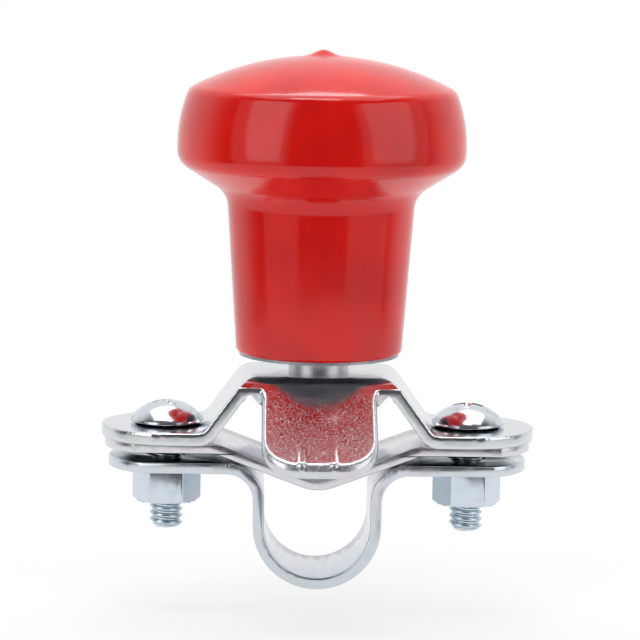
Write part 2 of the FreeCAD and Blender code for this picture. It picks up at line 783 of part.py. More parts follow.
def make_spindle():
    """Stud with a riveted tenon, a collar, a bearing journal and a clip groove."""
    collar = size("collar_dia") / 2
    tenon = size("tenon_dia") / 2
    rivet = size("rivet_dia") / 2
    groove = JOURNAL_RADIUS - size("clip_groove_depth")
    rivet_under = PLATE_UNDER - size("rivet_height")
    corners = [
        (0, rivet_under),
        (rivet - size("rivet_slant"), rivet_under),
        (rivet, PLATE_UNDER),
        (tenon, PLATE_UNDER),
        (tenon, PLATE_TOP),
        (collar, PLATE_TOP),
        (collar, LOWER_BEARING),
        (JOURNAL_RADIUS, LOWER_BEARING),
        (JOURNAL_RADIUS, WASHER_TOP),
        (groove, WASHER_TOP),
        (groove, CLIP_TOP + size("clip_play")),
        (JOURNAL_RADIUS, CLIP_TOP + size("clip_play")),
        (JOURNAL_RADIUS, SPINDLE_TOP - size("spindle_chamfer")),
        (JOURNAL_RADIUS - size("spindle_chamfer"), SPINDLE_TOP),
        (0, SPINDLE_TOP),
    ]
    return turned_body("spindle", corners)


def bearing_ring(name, bottom, bore, outside):
    """One ring of a ball bearing with its race groove turned in."""
    top = bottom + size("bearing_height")
    body = turned_body(name, [(bore, bottom), (outside, bottom), (outside, top), (bore, top)])
    middle = bottom + size("bearing_height") / 2
    race = size("ball_dia") / 2 + size("race_gap")
    pitch = size("pitch_dia") / 2
    sketch = new_sketch(body, f"{name}_race_profile", "XZ_Plane")
    centre = vector(pitch.value, middle.value)
    circle = Part.Circle(centre, vector(0, 0, 1), race.value)
    item = sketch.addGeometry(circle, False)
    place_point(sketch, item, CENTRE, pitch, middle)
    dimension(sketch, "Radius", (item,), race)
    revolve(body, sketch, f"{name}_race", "PartDesign::Groove")
    return body


def ring_of_balls(name, bottom):
    """The balls of one bearing, as separate solids in one group."""
    middle = bottom + size("bearing_height") / 2
    pitch = size("pitch_dia") / 2
    balls = []
    for number in range(int(SIZES["ball_count"])):
        ball = doc.addObject("Part::Sphere", f"{name}_{number + 1}")
        angle = math.radians(360.0 * number / SIZES["ball_count"])
        turn = f"360 deg * {number} / Sizes.ball_count"
        ball.Radius = size("ball_dia").value / 2
        ball.setExpression("Radius", f"{size('ball_dia').text} / 2")
        across = pitch.value * math.cos(angle)
        along = pitch.value * math.sin(angle)
        ball.Placement.Base = vector(across, along, middle.value)
        ball.setExpression("Placement.Base.x", f"{pitch.text} * cos({turn})")
        ball.setExpression("Placement.Base.y", f"{pitch.text} * sin({turn})")
        ball.setExpression("Placement.Base.z", middle.text)
        balls.append(ball)
    group = doc.addObject("Part::Compound", name)
    group.Label = name
    group.Links = balls
    doc.recompute()
    return group


def make_cage(name, bottom):
    """Moulded crown cage: a ring behind the balls with a round pocket for each."""
    middle = bottom + size("bearing_height") / 2
    pocket = size("ball_dia") / 2 + size("pocket_gap")
    back = middle + pocket + size("cage_back")
    front = middle - size("cage_front")
    inside, outside = size("cage_inside") / 2, size("cage_outside") / 2
    corners = [(inside, front), (outside, front), (outside, back), (inside, back)]
    body = turned_body(name, corners)
    sketch = new_sketch(body, f"{name}_pocket_profile", "XZ_Plane")
    pitch = size("pitch_dia") / 2
    centre = vector(pitch.value, middle.value)
    circle = Part.Circle(centre, vector(0, 0, 1), pocket.value)
    arc = sketch.addGeometry(Part.ArcOfCircle(circle, -math.pi / 2, math.pi / 2), False)
    chord = sketch.addGeometry(
        Part.LineSegment(centre + vector(0, pocket.value), centre - vector(0, pocket.value)), False
    )
    sketch.addConstraint(Sketcher.Constraint("Coincident", arc, END, chord, START))
    sketch.addConstraint(Sketcher.Constraint("Coincident", arc, START, chord, END))
    sketch.addConstraint(Sketcher.Constraint("Vertical", chord))
    sketch.addConstraint(Sketcher.Constraint("PointOnObject", arc, CENTRE, chord))
    place_point(sketch, arc, CENTRE, pitch, middle)
    dimension(sketch, "Radius", (arc,), pocket)
    hole = body.newObject("PartDesign::Groove", f"{name}_pocket")
    hole.Profile = sketch
    hole.ReferenceAxis = (sketch, [f"Edge{chord + 1}"])
    hole.Angle = 360.0
    doc.recompute()
    pattern = body.newObject("PartDesign::PolarPattern", f"{name}_pockets")
    pattern.Originals = [hole]
    pattern.Axis = (origin_plane(body, "Z_Axis"), [""])
    pattern.Angle = 360.0
    pattern.Occurrences = int(SIZES["ball_count"])
    pattern.setExpression("Occurrences", "Sizes.ball_count")
    body.Tip = pattern
    doc.recompute()
    return body


def make_bearing(name, bottom):
    """The four pieces of one deep-groove ball bearing."""
    inner_edge = size("inner_shoulder") / 2
    outer_edge = size("outer_shoulder") / 2
    return [
        bearing_ring(f"{name}_inner_ring", bottom, JOURNAL_RADIUS, inner_edge),
        bearing_ring(f"{name}_outer_ring", bottom, outer_edge, BORE_RADIUS),
        ring_of_balls(f"{name}_balls", bottom),
        make_cage(f"{name}_cage", bottom),
    ]


def sleeve(name, inside, outside, low, high):
    """A plain turned sleeve or washer."""
    return turned_body(name, [(inside, low), (outside, low), (outside, high), (inside, high)])


def make_spacers():
    """Sleeves that keep the inner and the outer rings apart, and the top washer."""
    low = LOWER_BEARING + size("bearing_height")
    inner_out = JOURNAL_RADIUS + size("inner_spacer_wall")
    outer_in = BORE_RADIUS - size("outer_spacer_wall")
    return [
        sleeve("inner_spacer", JOURNAL_RADIUS, inner_out, low, UPPER_BEARING),
        sleeve("outer_spacer", outer_in, BORE_RADIUS, low, UPPER_BEARING),
        sleeve("spindle_washer", JOURNAL_RADIUS, size("washer_dia") / 2, STACK_TOP, WASHER_TOP),
    ]


def make_clip():
    """Open retaining clip with three lands that grip the spindle's groove."""
    grip = JOURNAL_RADIUS - size("clip_groove_depth")
    relief = grip + size("clip_relief")
    outside = size("clip_dia") / 2
    body = sleeve("retaining_clip", grip, outside, CLIP_BASE, CLIP_TOP)
    mouth = new_sketch(body, "clip_mouth_outline", "XY_Plane")
    half = size("clip_mouth") / 2
    far = size("clip_dia")
    closed_outline_signed(mouth, [(0, half, -1), (far, half, -1), (far, half, 1), (0, half, 1)])
    pocket_through(body, mouth, "clip_opening")
    place, half_angle = size("clip_relief_place").value, size("clip_relief_half").value
    for side, word in ((-1.0, "left"), (1.0, "right")):
        hollow = new_sketch(body, f"clip_relief_outline_{word}", "XY_Plane")
        low, high = math.radians(side * place - half_angle), math.radians(side * place + half_angle)
        wedge(hollow, grip / 2, relief, low, high)
        pocket_through(body, hollow, f"clip_relief_{word}")
    return body


def closed_outline_signed(sketch, corners):
    """A rectangle whose corners are (x size, y size, sign of y), with x from the axis."""
    lines = polygon(sketch, [vector(number_of(x), sign * y.value) for x, y, sign in corners])
    for line, (x, y, sign) in zip(lines, corners):
        if isinstance(x, Size):
            dimension(sketch, "DistanceX", (ORIGIN, 1, line, START), x)
        else:
            sketch.addConstraint(Sketcher.Constraint("PointOnObject", line, START, V_AXIS))
        ends = (ORIGIN, 1, line, START) if sign > 0 else (line, START, ORIGIN, 1)
        dimension(sketch, "DistanceY", ends, y)


def wedge(sketch, inner, outer, low, high):
    """A sector between two radii, closed by straight sides."""
    ring = Part.Circle(vector(0, 0), vector(0, 0, 1), outer.value)
    curve = sketch.addGeometry(Part.ArcOfCircle(ring, low, high), False)
    points = [
        vector(outer.value * math.cos(high), outer.value * math.sin(high)),
        vector(inner.value * math.cos(high), inner.value * math.sin(high)),
        vector(inner.value * math.cos(low), inner.value * math.sin(low)),
        vector(outer.value * math.cos(low), outer.value * math.sin(low)),
    ]
    lines = [add_line(sketch, a, b) for a, b in zip(points, points[1:])]
    close_chain(sketch, [(curve, START, END)] + lines)
    sketch.addConstraint(Sketcher.Constraint("Coincident", curve, CENTRE, ORIGIN, 1))
    dimension(sketch, "Radius", (curve,), outer)


# Knob


def make_base_disc():
    """Steel disc under the knob, with a spigot that holds the bearings in."""
    hole, rim = size("disc_hole") / 2, size("disc_dia") / 2
    spigot = BORE_RADIUS - size("spigot_wall")
    corners = [
        (hole, DISC_UNDER),
        (rim, DISC_UNDER),
        (rim, KNOB_BASE),
        (BORE_RADIUS, KNOB_BASE),
        (BORE_RADIUS, LOWER_BEARING),
        (spigot, LOWER_BEARING),
        (spigot, KNOB_BASE),
        (hole, KNOB_BASE),
    ]
    return turned_body("base_disc", corners)


def bowed_wall(sketch, low, high, radius):
    """An outward bowed arc between two points, as a chain item."""
    chord = high - low
    middle = (low + high) * 0.5
    back = vector(-chord.y, chord.x) * (1.0 / chord.Length)
    centre = middle + back * math.sqrt(radius.value ** 2 - (chord.Length / 2.0) ** 2)
    begin = math.atan2(low.y - centre.y, low.x - centre.x)
    end = math.atan2(high.y - centre.y, high.x - centre.x)
    circle = Part.Circle(centre, vector(0, 0, 1), radius.value)
    item = sketch.addGeometry(Part.ArcOfCircle(circle, begin, end), False)
    dimension(sketch, "Radius", (item,), radius)
    return item, START, END


def make_knob():
    """Mushroom knob with a domed crown, a moulding nipple and a blind bearing bore."""
    base = size("knob_base_dia") / 2
    neck = size("neck_dia") / 2
    flare = size("flare_dia") / 2
    crown_edge = size("crown_edge_dia") / 2
    nipple, tip = size("nipple_dia") / 2, size("nipple_tip_dia") / 2
    bore_end = size("bore_end_dia") / 2
    dome = size("crown_radius")
    centre_z = CROWN_EDGE_Z.value - math.sqrt(dome.value ** 2 - crown_edge.value ** 2)
    nipple_foot = centre_z + math.sqrt(dome.value ** 2 - nipple.value ** 2)
    summit = centre_z + dome.value
    body = new_body("knob_grip")
    sketch = new_sketch(body, "knob_profile", "XZ_Plane")
    outline = [
        (0, BORE_END),
        (bore_end, BORE_END),
        (bore_end, STACK_TOP),
        (BORE_RADIUS, STACK_TOP),
        (BORE_RADIUS, KNOB_BASE),
        (base, KNOB_BASE),
        (neck, NECK_Z),
        (flare, FLARE_Z),
        (crown_edge, CROWN_EDGE_Z),
    ]
    points = [vector(number_of(x), y.value) for x, y in outline]
    items = [add_line(sketch, a, b) for a, b in zip(points[:-2], points[1:-1])]
    items.append(bowed_wall(sketch, points[-2], points[-1], size("wall_radius")))
    centre = vector(0, centre_z)
    low = math.atan2(CROWN_EDGE_Z.value - centre_z, crown_edge.value)
    high = math.atan2(nipple_foot - centre_z, nipple.value)
    circle = Part.Circle(centre, vector(0, 0, 1), dome.value)
    crown = sketch.addGeometry(Part.ArcOfCircle(circle, low, high), False)
    items.append((crown, START, END))
    foot = vector(nipple.value, nipple_foot)
    shoulder = vector(tip.value, summit + size("nipple_height").value)
    top = vector(0, shoulder.y)
    items += [add_line(sketch, a, b) for a, b in ((foot, shoulder), (shoulder, top), (top, points[0]))]
    close_chain(sketch, items)
    for (item, _, _), (x, y) in zip(items, outline):
        if isinstance(x, Size):
            place_point(sketch, item, START, x, y)
        else:
            sketch.addConstraint(Sketcher.Constraint("PointOnObject", item, START, V_AXIS))
            dimension(sketch, "DistanceY", (ORIGIN, 1, item, START), y)
    sketch.addConstraint(Sketcher.Constraint("PointOnObject", crown, CENTRE, V_AXIS))
    dimension(sketch, "Radius", (crown,), dome)
    dimension(sketch, "DistanceX", (ORIGIN, 1, crown, END), nipple)
    dimension(sketch, "DistanceX", (ORIGIN, 1, items[-3][0], END), tip)
    sketch.addConstraint(Sketcher.Constraint("Horizontal", items[-2][0]))
    sketch.addConstraint(Sketcher.Constraint("PointOnObject", items[-1][0], START, V_AXIS))
    sagitta = f"(Sizes.crown_radius - sqrt(pow(Sizes.crown_radius; 2) - pow({crown_edge.text}; 2)))"
    rise = f"({CROWN_EDGE_Z.text} + {sagitta} + Sizes.nipple_height)"
    dimension(sketch, "DistanceY", (ORIGIN, 1, items[-1][0], START), Size(top.y, rise))
    revolve(body, sketch, "knob_turned")

    def at(radius, height):
        return lambda edge: circle_edge(edge, radius, height)

    fillet_edges(body, "neck_rounding", size("neck_round"), at(neck.value, NECK_Z.value))
    fillet_edges(body, "cap_rounding", size("cap_round"), at(flare.value, FLARE_Z.value))
    fillet_edges(body, "crown_rounding", size("crown_round"), at(crown_edge.value, CROWN_EDGE_Z.value))
    fillet_edges(body, "base_rounding", size("base_round"), at(base.value, KNOB_BASE.value))
    fillet_edges(body, "nipple_flaring", size("nipple_flare"), at(nipple.value, nipple_foot))
    fillet_edges(body, "nipple_rounding", size("nipple_tip_dia") / 4, at(tip.value, shoulder.y))
    return body


def check_and_write(pieces):
    """Stops on any failed object, then writes one STEP file for each piece."""
    doc.recompute()
    for item in doc.Objects:
        if "Invalid" in item.State or "Error" in item.State:
            raise RuntimeError(f"{item.Name} failed: {item.State}")
    os.makedirs("parts", exist_ok=True)
    for piece in pieces:
        shape = piece.Shape
        if shape.isNull() or not shape.isValid():
            raise RuntimeError(f"{piece.Label} has no valid shape")
        shape.exportStep(f"parts/{piece.Label}.step")
        box = shape.BoundBox
        reach = f"z {box.ZMin:.2f} to {box.ZMax:.2f}"
        print(f"{piece.Label}: {len(shape.Solids)} solid, {shape.Volume:.1f} mm3, {reach}")


pieces = [make_bracket(), make_saddle(), make_strap()]
pieces += [make_screw("left_screw", -1), make_screw("right_screw", 1)]
pieces += [make_nut("left_nut", -1), make_nut("right_nut", 1)]
pieces += [make_spindle()]
pieces += make_bearing("lower_bearing", LOWER_BEARING)
pieces += make_bearing("upper_bearing", UPPER_BEARING)
pieces += make_spacers()
pieces += [make_clip(), make_base_disc(), make_knob()]
check_and_write(pieces)
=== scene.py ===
import logging
import math
from dataclasses import dataclass
from enum import Enum
from functools import partial, reduce
from typing import Callable, Sequence

import bmesh
import bpy
from mathutils import Matrix, Vector, noise


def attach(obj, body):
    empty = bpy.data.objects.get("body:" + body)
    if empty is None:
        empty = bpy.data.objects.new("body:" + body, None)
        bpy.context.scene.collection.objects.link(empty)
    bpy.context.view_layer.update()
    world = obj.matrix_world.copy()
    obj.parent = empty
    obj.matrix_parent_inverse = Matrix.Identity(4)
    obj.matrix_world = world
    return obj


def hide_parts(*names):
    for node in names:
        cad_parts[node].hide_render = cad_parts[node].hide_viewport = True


# Steering wheel spinner knob: a dipped red grip on a zinc plated rim clamp.
# Lengths in the classes are in millimetres, except the lamps' own, and meshes are in metres.

MM = 0.001
TINY = 1e-6  # a length in millimetres that counts as none
LOG = logging.getLogger("spinner_knob")

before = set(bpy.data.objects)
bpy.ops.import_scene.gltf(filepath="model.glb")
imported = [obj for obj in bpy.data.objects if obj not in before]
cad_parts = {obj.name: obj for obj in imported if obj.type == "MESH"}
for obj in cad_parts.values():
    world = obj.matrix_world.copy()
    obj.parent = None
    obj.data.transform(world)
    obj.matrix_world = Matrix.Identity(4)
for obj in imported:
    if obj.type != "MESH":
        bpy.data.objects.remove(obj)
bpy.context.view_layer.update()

Spot = tuple[float, float]  # a radius and a height
Band = tuple[float, float]  # where a band starts and ends
Corner = tuple[float, float, float]  # a spot and the radius of its arc
Point = tuple[float, float, float]
Colour = tuple[float, float, float]
Socket = bpy.types.NodeSocket


# Node trees


class NodeTree:
    """A node tree with a short call that adds a node and joins it."""

    def __init__(self, tree: bpy.types.NodeTree) -> None:
        """Takes the tree to add to."""
        self.tree = tree

    def put(self, socket: Socket, value: object) -> None:
        """Gives an input its value.

        Args:
            socket: The input.
            value: A plain value, a colour without alpha, or a socket to join to it.
        """
        if isinstance(value, Socket):
            self.tree.links.new(value, socket)
        else:
            socket.default_value = (*value, 1.0) if socket.type == "RGBA" else value

    def fill(self, node: bpy.types.Node, **values: object) -> None:
        """Gives a node its own settings and its inputs.

        Args:
            node: The node.
            values: Settings in small letters, and inputs with a capital and underscores.
        """
        for name, value in values.items():
            if name[0].islower():
                setattr(node, name, value)
            else:
                self.put(node.inputs[name.replace("_", " ")], value)

    def add(self, kind: str, **values: object) -> bpy.types.Node:
        """Adds a node.

        Args:
            kind: The node's type name.
            values: Its settings and inputs, as fill takes them.

        Returns:
            The new node.
        """
        node = self.tree.nodes.new(kind)
        self.fill(node, **values)
        return node

    def span(self, source: Socket, low: float, high: float, to_low: float, to_high: float) -> Socket:
        """Maps a value from one range to another, held at its ends.

        Args:
            source: The value.
            low: Where the range starts.
            high: Where the range ends.
            to_low: The result at low.
            to_high: The result at high.

        Returns:
            The mapped value.
        """
        ends = {"From_Min": low, "From_Max": high, "To_Min": to_low, "To_Max": to_high}
        node = self.add("ShaderNodeMapRange", interpolation_type="SMOOTHSTEP", Value=source, **ends)
        return node.outputs["Result"]


class Paint(NodeTree):
    """A material's node tree with a principled surface and Object coordinates."""

    def __init__(self, name: str) -> None:
        """Starts the material.

        Args:
            name: The material's name.
        """
        self.material = bpy.data.materials.new(name)
        self.material.use_nodes = True
        super().__init__(self.material.node_tree)
        self.surface = self.tree.nodes["Principled BSDF"]
        self.place = self.add("ShaderNodeTexCoord").outputs["Object"]

    def noise(
        self,
        size_mm: float,
        detail: float = 2.0,
        rough: float = 0.5,
        scale: Point | None = None,
        turn: float = 0.0,
    ) -> Socket:
        """Soft random blotches.

        Args:
            size_mm: The usual width of a blotch in millimetres.
            detail: How many finer layers the blotches have.
            rough: How strong the finer layers are.
            scale: How many times as dense they are along each axis.
            turn: How far those axes are turned about the vertical, in degrees.

        Returns:
            The blotches' strength, from 0 to 1.
        """
        place = self.place
        if scale:
            axes = (0.0, 0.0, math.radians(turn))
            place = self.add("ShaderNodeMapping", Vector=place, Scale=scale, Rotation=axes).outputs[0]
        density = 1.0 / (size_mm * MM)
        node = self.add(
            "ShaderNodeTexNoise", Vector=place, Scale=density, Detail=detail, Roughness=rough
        )
        return node.outputs["Fac"]

    def cells(self, size_mm: float) -> Socket:
        """Distance to the nearest of random points that lie about size_mm apart."""
        node = self.add("ShaderNodeTexVoronoi", Vector=self.place, Scale=1.0 / (size_mm * MM))
        return node.outputs["Distance"]

    def fade(self, place: Socket, band: Band, to_low: float = 0.0, to_high: float = 1.0) -> Socket:
        """Makes a mask that changes within a band of places.

        Args:
            place: A coordinate or a distance, in metres.
            band: Where the band starts and ends, in millimetres.
            to_low: The mask before the band.
            to_high: The mask beyond it.

        Returns:
            The mask.
        """
        return self.span(place, band[0] * MM, band[1] * MM, to_low, to_high)

    def math(self, kind: str, first: Socket, second: Socket | float = 0.0) -> Socket:
        """Works out one step of arithmetic.

        Args:
            kind: The operation's name.
            first: Its first value.
            second: Its second value.

        Returns:
            The result.
        """
        node = self.add("ShaderNodeMath", operation=kind)
        self.put(node.inputs[0], first)
        self.put(node.inputs[1], second)
        return node.outputs["Value"]

    def product(self, *values: Socket) -> Socket:
        """All values multiplied by each other."""
        return reduce(partial(self.math, "MULTIPLY"), values)

    def axis(self, letter: str) -> Socket:
        """One of the Object coordinates."""
        return self.add("ShaderNodeSeparateXYZ", Vector=self.place).outputs[letter]

    def aside(self, letter: str) -> Socket:
        """The distance from the origin along one axis, on either side."""
        return self.math("ABSOLUTE", self.axis(letter))

    def radius(self) -> Socket:
        """The distance from the origin."""
        return self.add("ShaderNodeVectorMath", operation="LENGTH", Vector=self.place).outputs["Value"]

    def mix(self, factor: Socket, first: Colour | Socket, second: Colour) -> Socket:
        """Two colours mixed, by how much of the second there is."""
        node = self.add("ShaderNodeMix", data_type="RGBA", Factor=factor, A=first, B=second)
        return node.outputs["Result"]

    def relief(
        self, height: Socket, depth_mm: float, strength: float = 1.0, under: Socket | None = None
    ) -> Socket:
        """Turns a height into a bumpy surface direction.

        Args:
            height: The height, from 0 to 1.
            depth_mm: How deep a step from 0 to 1 is, in millimetres.
            strength: How much of it shows.
            under: The coarser relief that this one lies on.

        Returns:
            The surface direction.
        """
        node = self.add("ShaderNodeBump", Strength=strength, Distance=depth_mm * MM, Height=height)
        if under is not None:
            self.put(node.inputs["Normal"], under)
        return node.outputs["Normal"]

    def coat(self, **values: object) -> bpy.types.Material:
        """Fills in the surface's own inputs, and gives the material."""
        self.fill(self.surface, **values)
        return self.material


# Finishes


@dataclass(frozen=True)
class DippedVinyl:
    """Glossy vinyl from a dipping bath, a little uneven, with fine dust in it."""

    name: str = "red_vinyl"
    colour: Colour = (0.77, 0.0072, 0.003)
    deep: Colour = (0.62, 0.005, 0.003)
    roughness: float = 0.13

    def make(self) -> bpy.types.Material:
        """Makes the finish.

        Returns:
            The new material.
        """
        paint = Paint(self.name)
        blotch = paint.noise(14.0, 2.0)
        waves = paint.noise(10.0, 1.0, 0.3, (1.0, 1.0, 0.55))
        peel = paint.noise(0.9, 2.0)
        pits = paint.span(paint.cells(4.2), 0.0, 0.035, 1.0, 0.0)
        normal = paint.relief(waves, 0.14, 0.5)
        normal = paint.relief(peel, 0.003, 0.3, normal)
        normal = paint.relief(pits, 0.03, 0.5, normal)
        return paint.coat(
            Base_Color=paint.mix(paint.span(blotch, 0.35, 0.7, 0.0, 1.0), self.colour, self.deep),
            Roughness=paint.span(peel, 0.3, 0.7, self.roughness - 0.03, self.roughness + 0.03),
            Normal=normal,
            IOR=1.5,
        )


@dataclass(frozen=True)
class ZincPlate:
    """Bright zinc plating on pressed steel, tinted a little, with grain on the tongues, and painted shade
    where two plates face each other.
    """

    name: str
    silver: Colour = (0.67, 0.70, 0.73)
    lilac: Colour = (0.71, 0.65, 0.70)
    green: Colour = (0.58, 0.68, 0.63)
    # The colour of the painted shade in the gap where two plates face each other
    gap_shade_colour: Colour = (0.10, 0.15, 0.16)
    smooth: float = 0.15
    dull: float = 0.26
    grain_depth: float = 0.026
    grain_from: Band = (12.0, 15.0)
    grain_denser: Band = (13.0, 27.0)
    grain_to: Band = (28.5, 29.0)
    grain_beside: Band = (10.2, 10.7)
    pull_depth: float = 0.0
    pull_from: Band = (10.5, 12.0)
    pull_to: Band = (16.5, 18.5)
    pull_above: Band = (1.0, 5.0)
    # Painted shade in the gap between facing plates: the heights it lies between, its fade, and its
    # distances from the middle, in millimetres
    gap_shade_bottom: float = 0.0
    gap_shade_top: float = 0.0
    gap_shade_fade: float = 0.08
    gap_shade_from: Band = (14.5, 16.5)
    gap_shade_to: Band = (34.0, 37.2)

    def make(self) -> bpy.types.Material:
        """Makes the finish.

        Returns:
            The new material.
        """
        paint = Paint(self.name)
        tint = paint.noise(11.0, 2.0)
        other = paint.noise(6.0, 2.0, 0.5, (1.0, 1.4, 1.0), turn=37.0)
        colour = paint.mix(paint.span(tint, 0.45, 0.7, 0.0, 0.8), self.silver, self.lilac)
        colour = paint.mix(paint.span(other, 0.55, 0.75, 0.0, 0.6), colour, self.green)
        draw = paint.noise(0.9, 3.0, 0.55, (1.0, 0.18, 1.0))
        out = paint.aside("Y")
        denser = paint.fade(out, self.grain_denser, -0.05, 0.04)
        grain = paint.product(
            paint.span(paint.math("ADD", paint.noise(0.3, 2.0, 0.7), denser), 0.53, 0.61, 0.0, 1.0),
            paint.fade(out, self.grain_from),
            paint.fade(out, self.grain_to, 1.0, 0.2),
            paint.fade(paint.aside("X"), self.grain_beside, 1.0, 0.0),
        )
        normal = paint.relief(draw, 0.008, 0.2)
        normal = paint.relief(grain, self.grain_depth, 0.8, normal)
        if self.pull_depth:
            normal = self.pulled(paint, normal)
        # Painted shade on the faces that look into the gap between two plates
        if self.gap_shade_top:
            colour = self.painted_gap_shade(paint, colour)
        cloud = paint.span(paint.noise(2.2, 3.0), 0.3, 0.7, self.smooth, self.dull)
        return paint.coat(Base_Color=colour, Metallic=1.0, Roughness=cloud, Normal=normal)

    def painted_gap_shade(self, paint: Paint, colour: Socket) -> Socket:
        """Painted shade: a dull blue-green darkening where the ears of two plates face each other,
        standing in for the shade in the gap between them.

        Args:
            paint: The material that is being made.
            colour: The plating's colour elsewhere.

        Returns:
            The colour with the painted shade on those faces.
        """
        height, out = paint.axis("Z"), paint.aside("X")
        flow = paint.noise(3.0, 3.0, 0.6, (0.4, 1.0, 1.0))
        where = paint.product(
            paint.fade(height, (self.gap_shade_bottom, self.gap_shade_bottom + self.gap_shade_fade)),
            paint.fade(height, (self.gap_shade_top - self.gap_shade_fade, self.gap_shade_top), 1.0, 0.0),
            paint.fade(out, self.gap_shade_from),
            paint.fade(out, self.gap_shade_to, 1.0, 0.0),
            paint.span(flow, 0.3, 0.6, 0.6, 1.0),
        )
        return paint.mix(where, colour, self.gap_shade_colour)

    def pulled(self, paint: Paint, under: Socket) -> Socket:
        """Stretch marks across the outside of the strap's bends.

        Args:
            paint: The material that is being made.
            under: The relief that the marks lie on.

        Returns:
            The surface direction with the marks.
        """
        out = paint.aside("X")
        marks = paint.product(
            paint.noise(0.55, 2.0, 0.6, (1.0, 1.0, 0.07)),
            paint.fade(out, self.pull_from),
            paint.fade(out, self.pull_to, 1.0, 0.0),
            paint.fade(paint.axis("Z"), self.pull_above),
        )
        return paint.relief(marks, self.pull_depth, 1.0, under)


@dataclass(frozen=True)
class BrightSteel:
    """Machined or rolled steel, with rings from turning where it was turned."""

    name: str
    colour: Colour
    roughness: float
    ring_size: float = 0.0
    ring_depth: float = 0.0
    blotch: float = 0.0

    def make(self) -> bpy.types.Material:
        """Makes the finish.

        Returns:
            The new material.
        """
        paint = Paint(self.name)
        grain = paint.noise(0.4, 3.0)
        cloud = paint.noise(1.6, 3.0, 0.6)
        normal = paint.relief(grain, 0.006, 0.5)
        if self.ring_size:
            rings = paint.noise(self.ring_size, 2.0, 0.5, (0.02, 0.02, 1.0))
            normal = paint.relief(rings, self.ring_depth, 0.7, normal)
        dark = tuple(part * 0.55 for part in self.colour)
        shade = paint.span(cloud, 0.5, 0.75, 0.0, self.blotch)
        return paint.coat(
            Base_Color=paint.mix(shade, self.colour, dark),
            Metallic=1.0,
            Roughness=paint.span(cloud, 0.3, 0.7, self.roughness * 0.8, self.roughness * 1.3),
            Normal=normal,
        )


@dataclass(frozen=True)
class Nylon:
    """Moulded cream nylon."""

    name: str = "cage_nylon"
    colour: Colour = (0.72, 0.66, 0.52)

    def make(self) -> bpy.types.Material:
        """Makes the finish.

        Returns:
            The new material.
        """
        paint = Paint(self.name)
        cloud = paint.noise(1.5, 3.0)
        warm = tuple(part * 0.86 for part in self.colour)
        return paint.coat(
            Base_Color=paint.mix(cloud, self.colour, warm),
            Roughness=paint.span(cloud, 0.3, 0.7, 0.42, 0.55),
            Normal=paint.relief(paint.noise(0.3, 2.0), 0.01, 0.5),
        )


class Finish(Enum):
    """The finishes of the knob's pieces."""

    VINYL = DippedVinyl()
    BRACKET_ZINC = ZincPlate("bracket_zinc", smooth=0.11, dull=0.19)
    SADDLE_ZINC = ZincPlate(
        "saddle_zinc",
        silver=(0.70, 0.69, 0.73),
        lilac=(0.74, 0.69, 0.74),
        # Painted shade on the underside of the saddle's ears, in the gap over the strap
        gap_shade_bottom=13.1,
        gap_shade_top=13.45,
    )
    # Painted shade on the top of the strap's ears, in the gap under the saddle, and stretch marks on its
    # bends
    STRAP_ZINC = ZincPlate(
        "strap_zinc", silver=(0.62, 0.67, 0.72), pull_depth=0.2, gap_shade_bottom=11.45, gap_shade_top=12.0
    )
    SCREW_ZINC = BrightSteel("screw_zinc", (0.66, 0.70, 0.75), 0.15, blotch=0.6)
    THREAD_ZINC = BrightSteel("thread_zinc", (0.52, 0.62, 0.69), 0.25, blotch=0.4)
    NUT_ZINC = BrightSteel("nut_zinc", (0.64, 0.71, 0.78), 0.19, blotch=0.12)
    DARK_DISC = BrightSteel("dark_disc", (0.36, 0.36, 0.38), 0.42, blotch=0.5)
    TURNED = BrightSteel("turned_steel", (0.82, 0.84, 0.87), 0.09, 0.22, 0.006, 0.1)
    GROUND = BrightSteel("ground_steel", (0.72, 0.72, 0.74), 0.1, 0.3, 0.004, 0.1)
    NYLON = Nylon()

    def material(self) -> bpy.types.Material:
        """The finish's material, made when it is first asked for."""
        made = bpy.data.materials.get(self.value.name)
        return made or self.value.make()


# Shapes


def held(share: float) -> float:
    """Keeps a share between 0 and 1."""
    return max(0.0, min(1.0, share))


def linked(name: str, data: bpy.types.ID) -> bpy.types.Object:
    """Makes an object and puts it in the scene.

    Args:
        name: Its name.
        data: Its mesh, lamp or camera.

    Returns:
        The object.
    """
    thing = bpy.data.objects.new(name, data)
    bpy.context.scene.collection.objects.link(thing)
    return thing


def to_object(name: str, mesh: bmesh.types.BMesh, finish: Finish) -> bpy.types.Object:
    """Makes a smooth-shaded object at the origin from a mesh in metres.

    Args:
        name: The piece's name.
        mesh: The finished mesh, freed here.
        finish: What the piece is finished in.

    Returns:
        The new object.
    """
    data = bpy.data.meshes.new(name)
    for face in mesh.faces:
        face.smooth = True
    mesh.to_mesh(data)
    mesh.free()
    data.materials.append(finish.material())
    return linked(name, data)


def lathe(outline: Sequence[Spot], base_height: float, steps: int) -> bmesh.types.BMesh:
    """Turns a closed outline about the vertical axis.

    Args:
        outline: Radius and height of each corner in millimetres, once round the section.
        base_height: The height that the outline's heights start from.
        steps: How many segments the turn has.

    Returns:
        The closed mesh in metres.
    """
    mesh = bmesh.new()
    rings = []
    for radius, height in outline:
        middle = Vector((0.0, 0.0, base_height + height)) * MM
        if radius < TINY:
            rings.append([mesh.verts.new(middle)] * steps)
            continue
        ring = []
        for step in range(steps):
            angle = math.tau * step / steps
            across = Vector((math.cos(angle), math.sin(angle), 0.0)) * radius * MM
            ring.append(mesh.verts.new(middle + across))
        rings.append(ring)
    closed = outline[0][0] > TINY and outline[-1][0] > TINY
    pairs = list(zip(rings, rings[1:])) + ([(rings[-1], rings[0])] if closed else [])
    for low, high in pairs:
        for step in range(steps):
            after = (step + 1) % steps
            corners = dict.fromkeys((low[step], low[after], high[after], high[step]))
            if len(corners) > 2:
                mesh.faces.new(tuple(corners))
    bmesh.ops.recalc_face_normals(mesh, faces=mesh.faces)
    return mesh


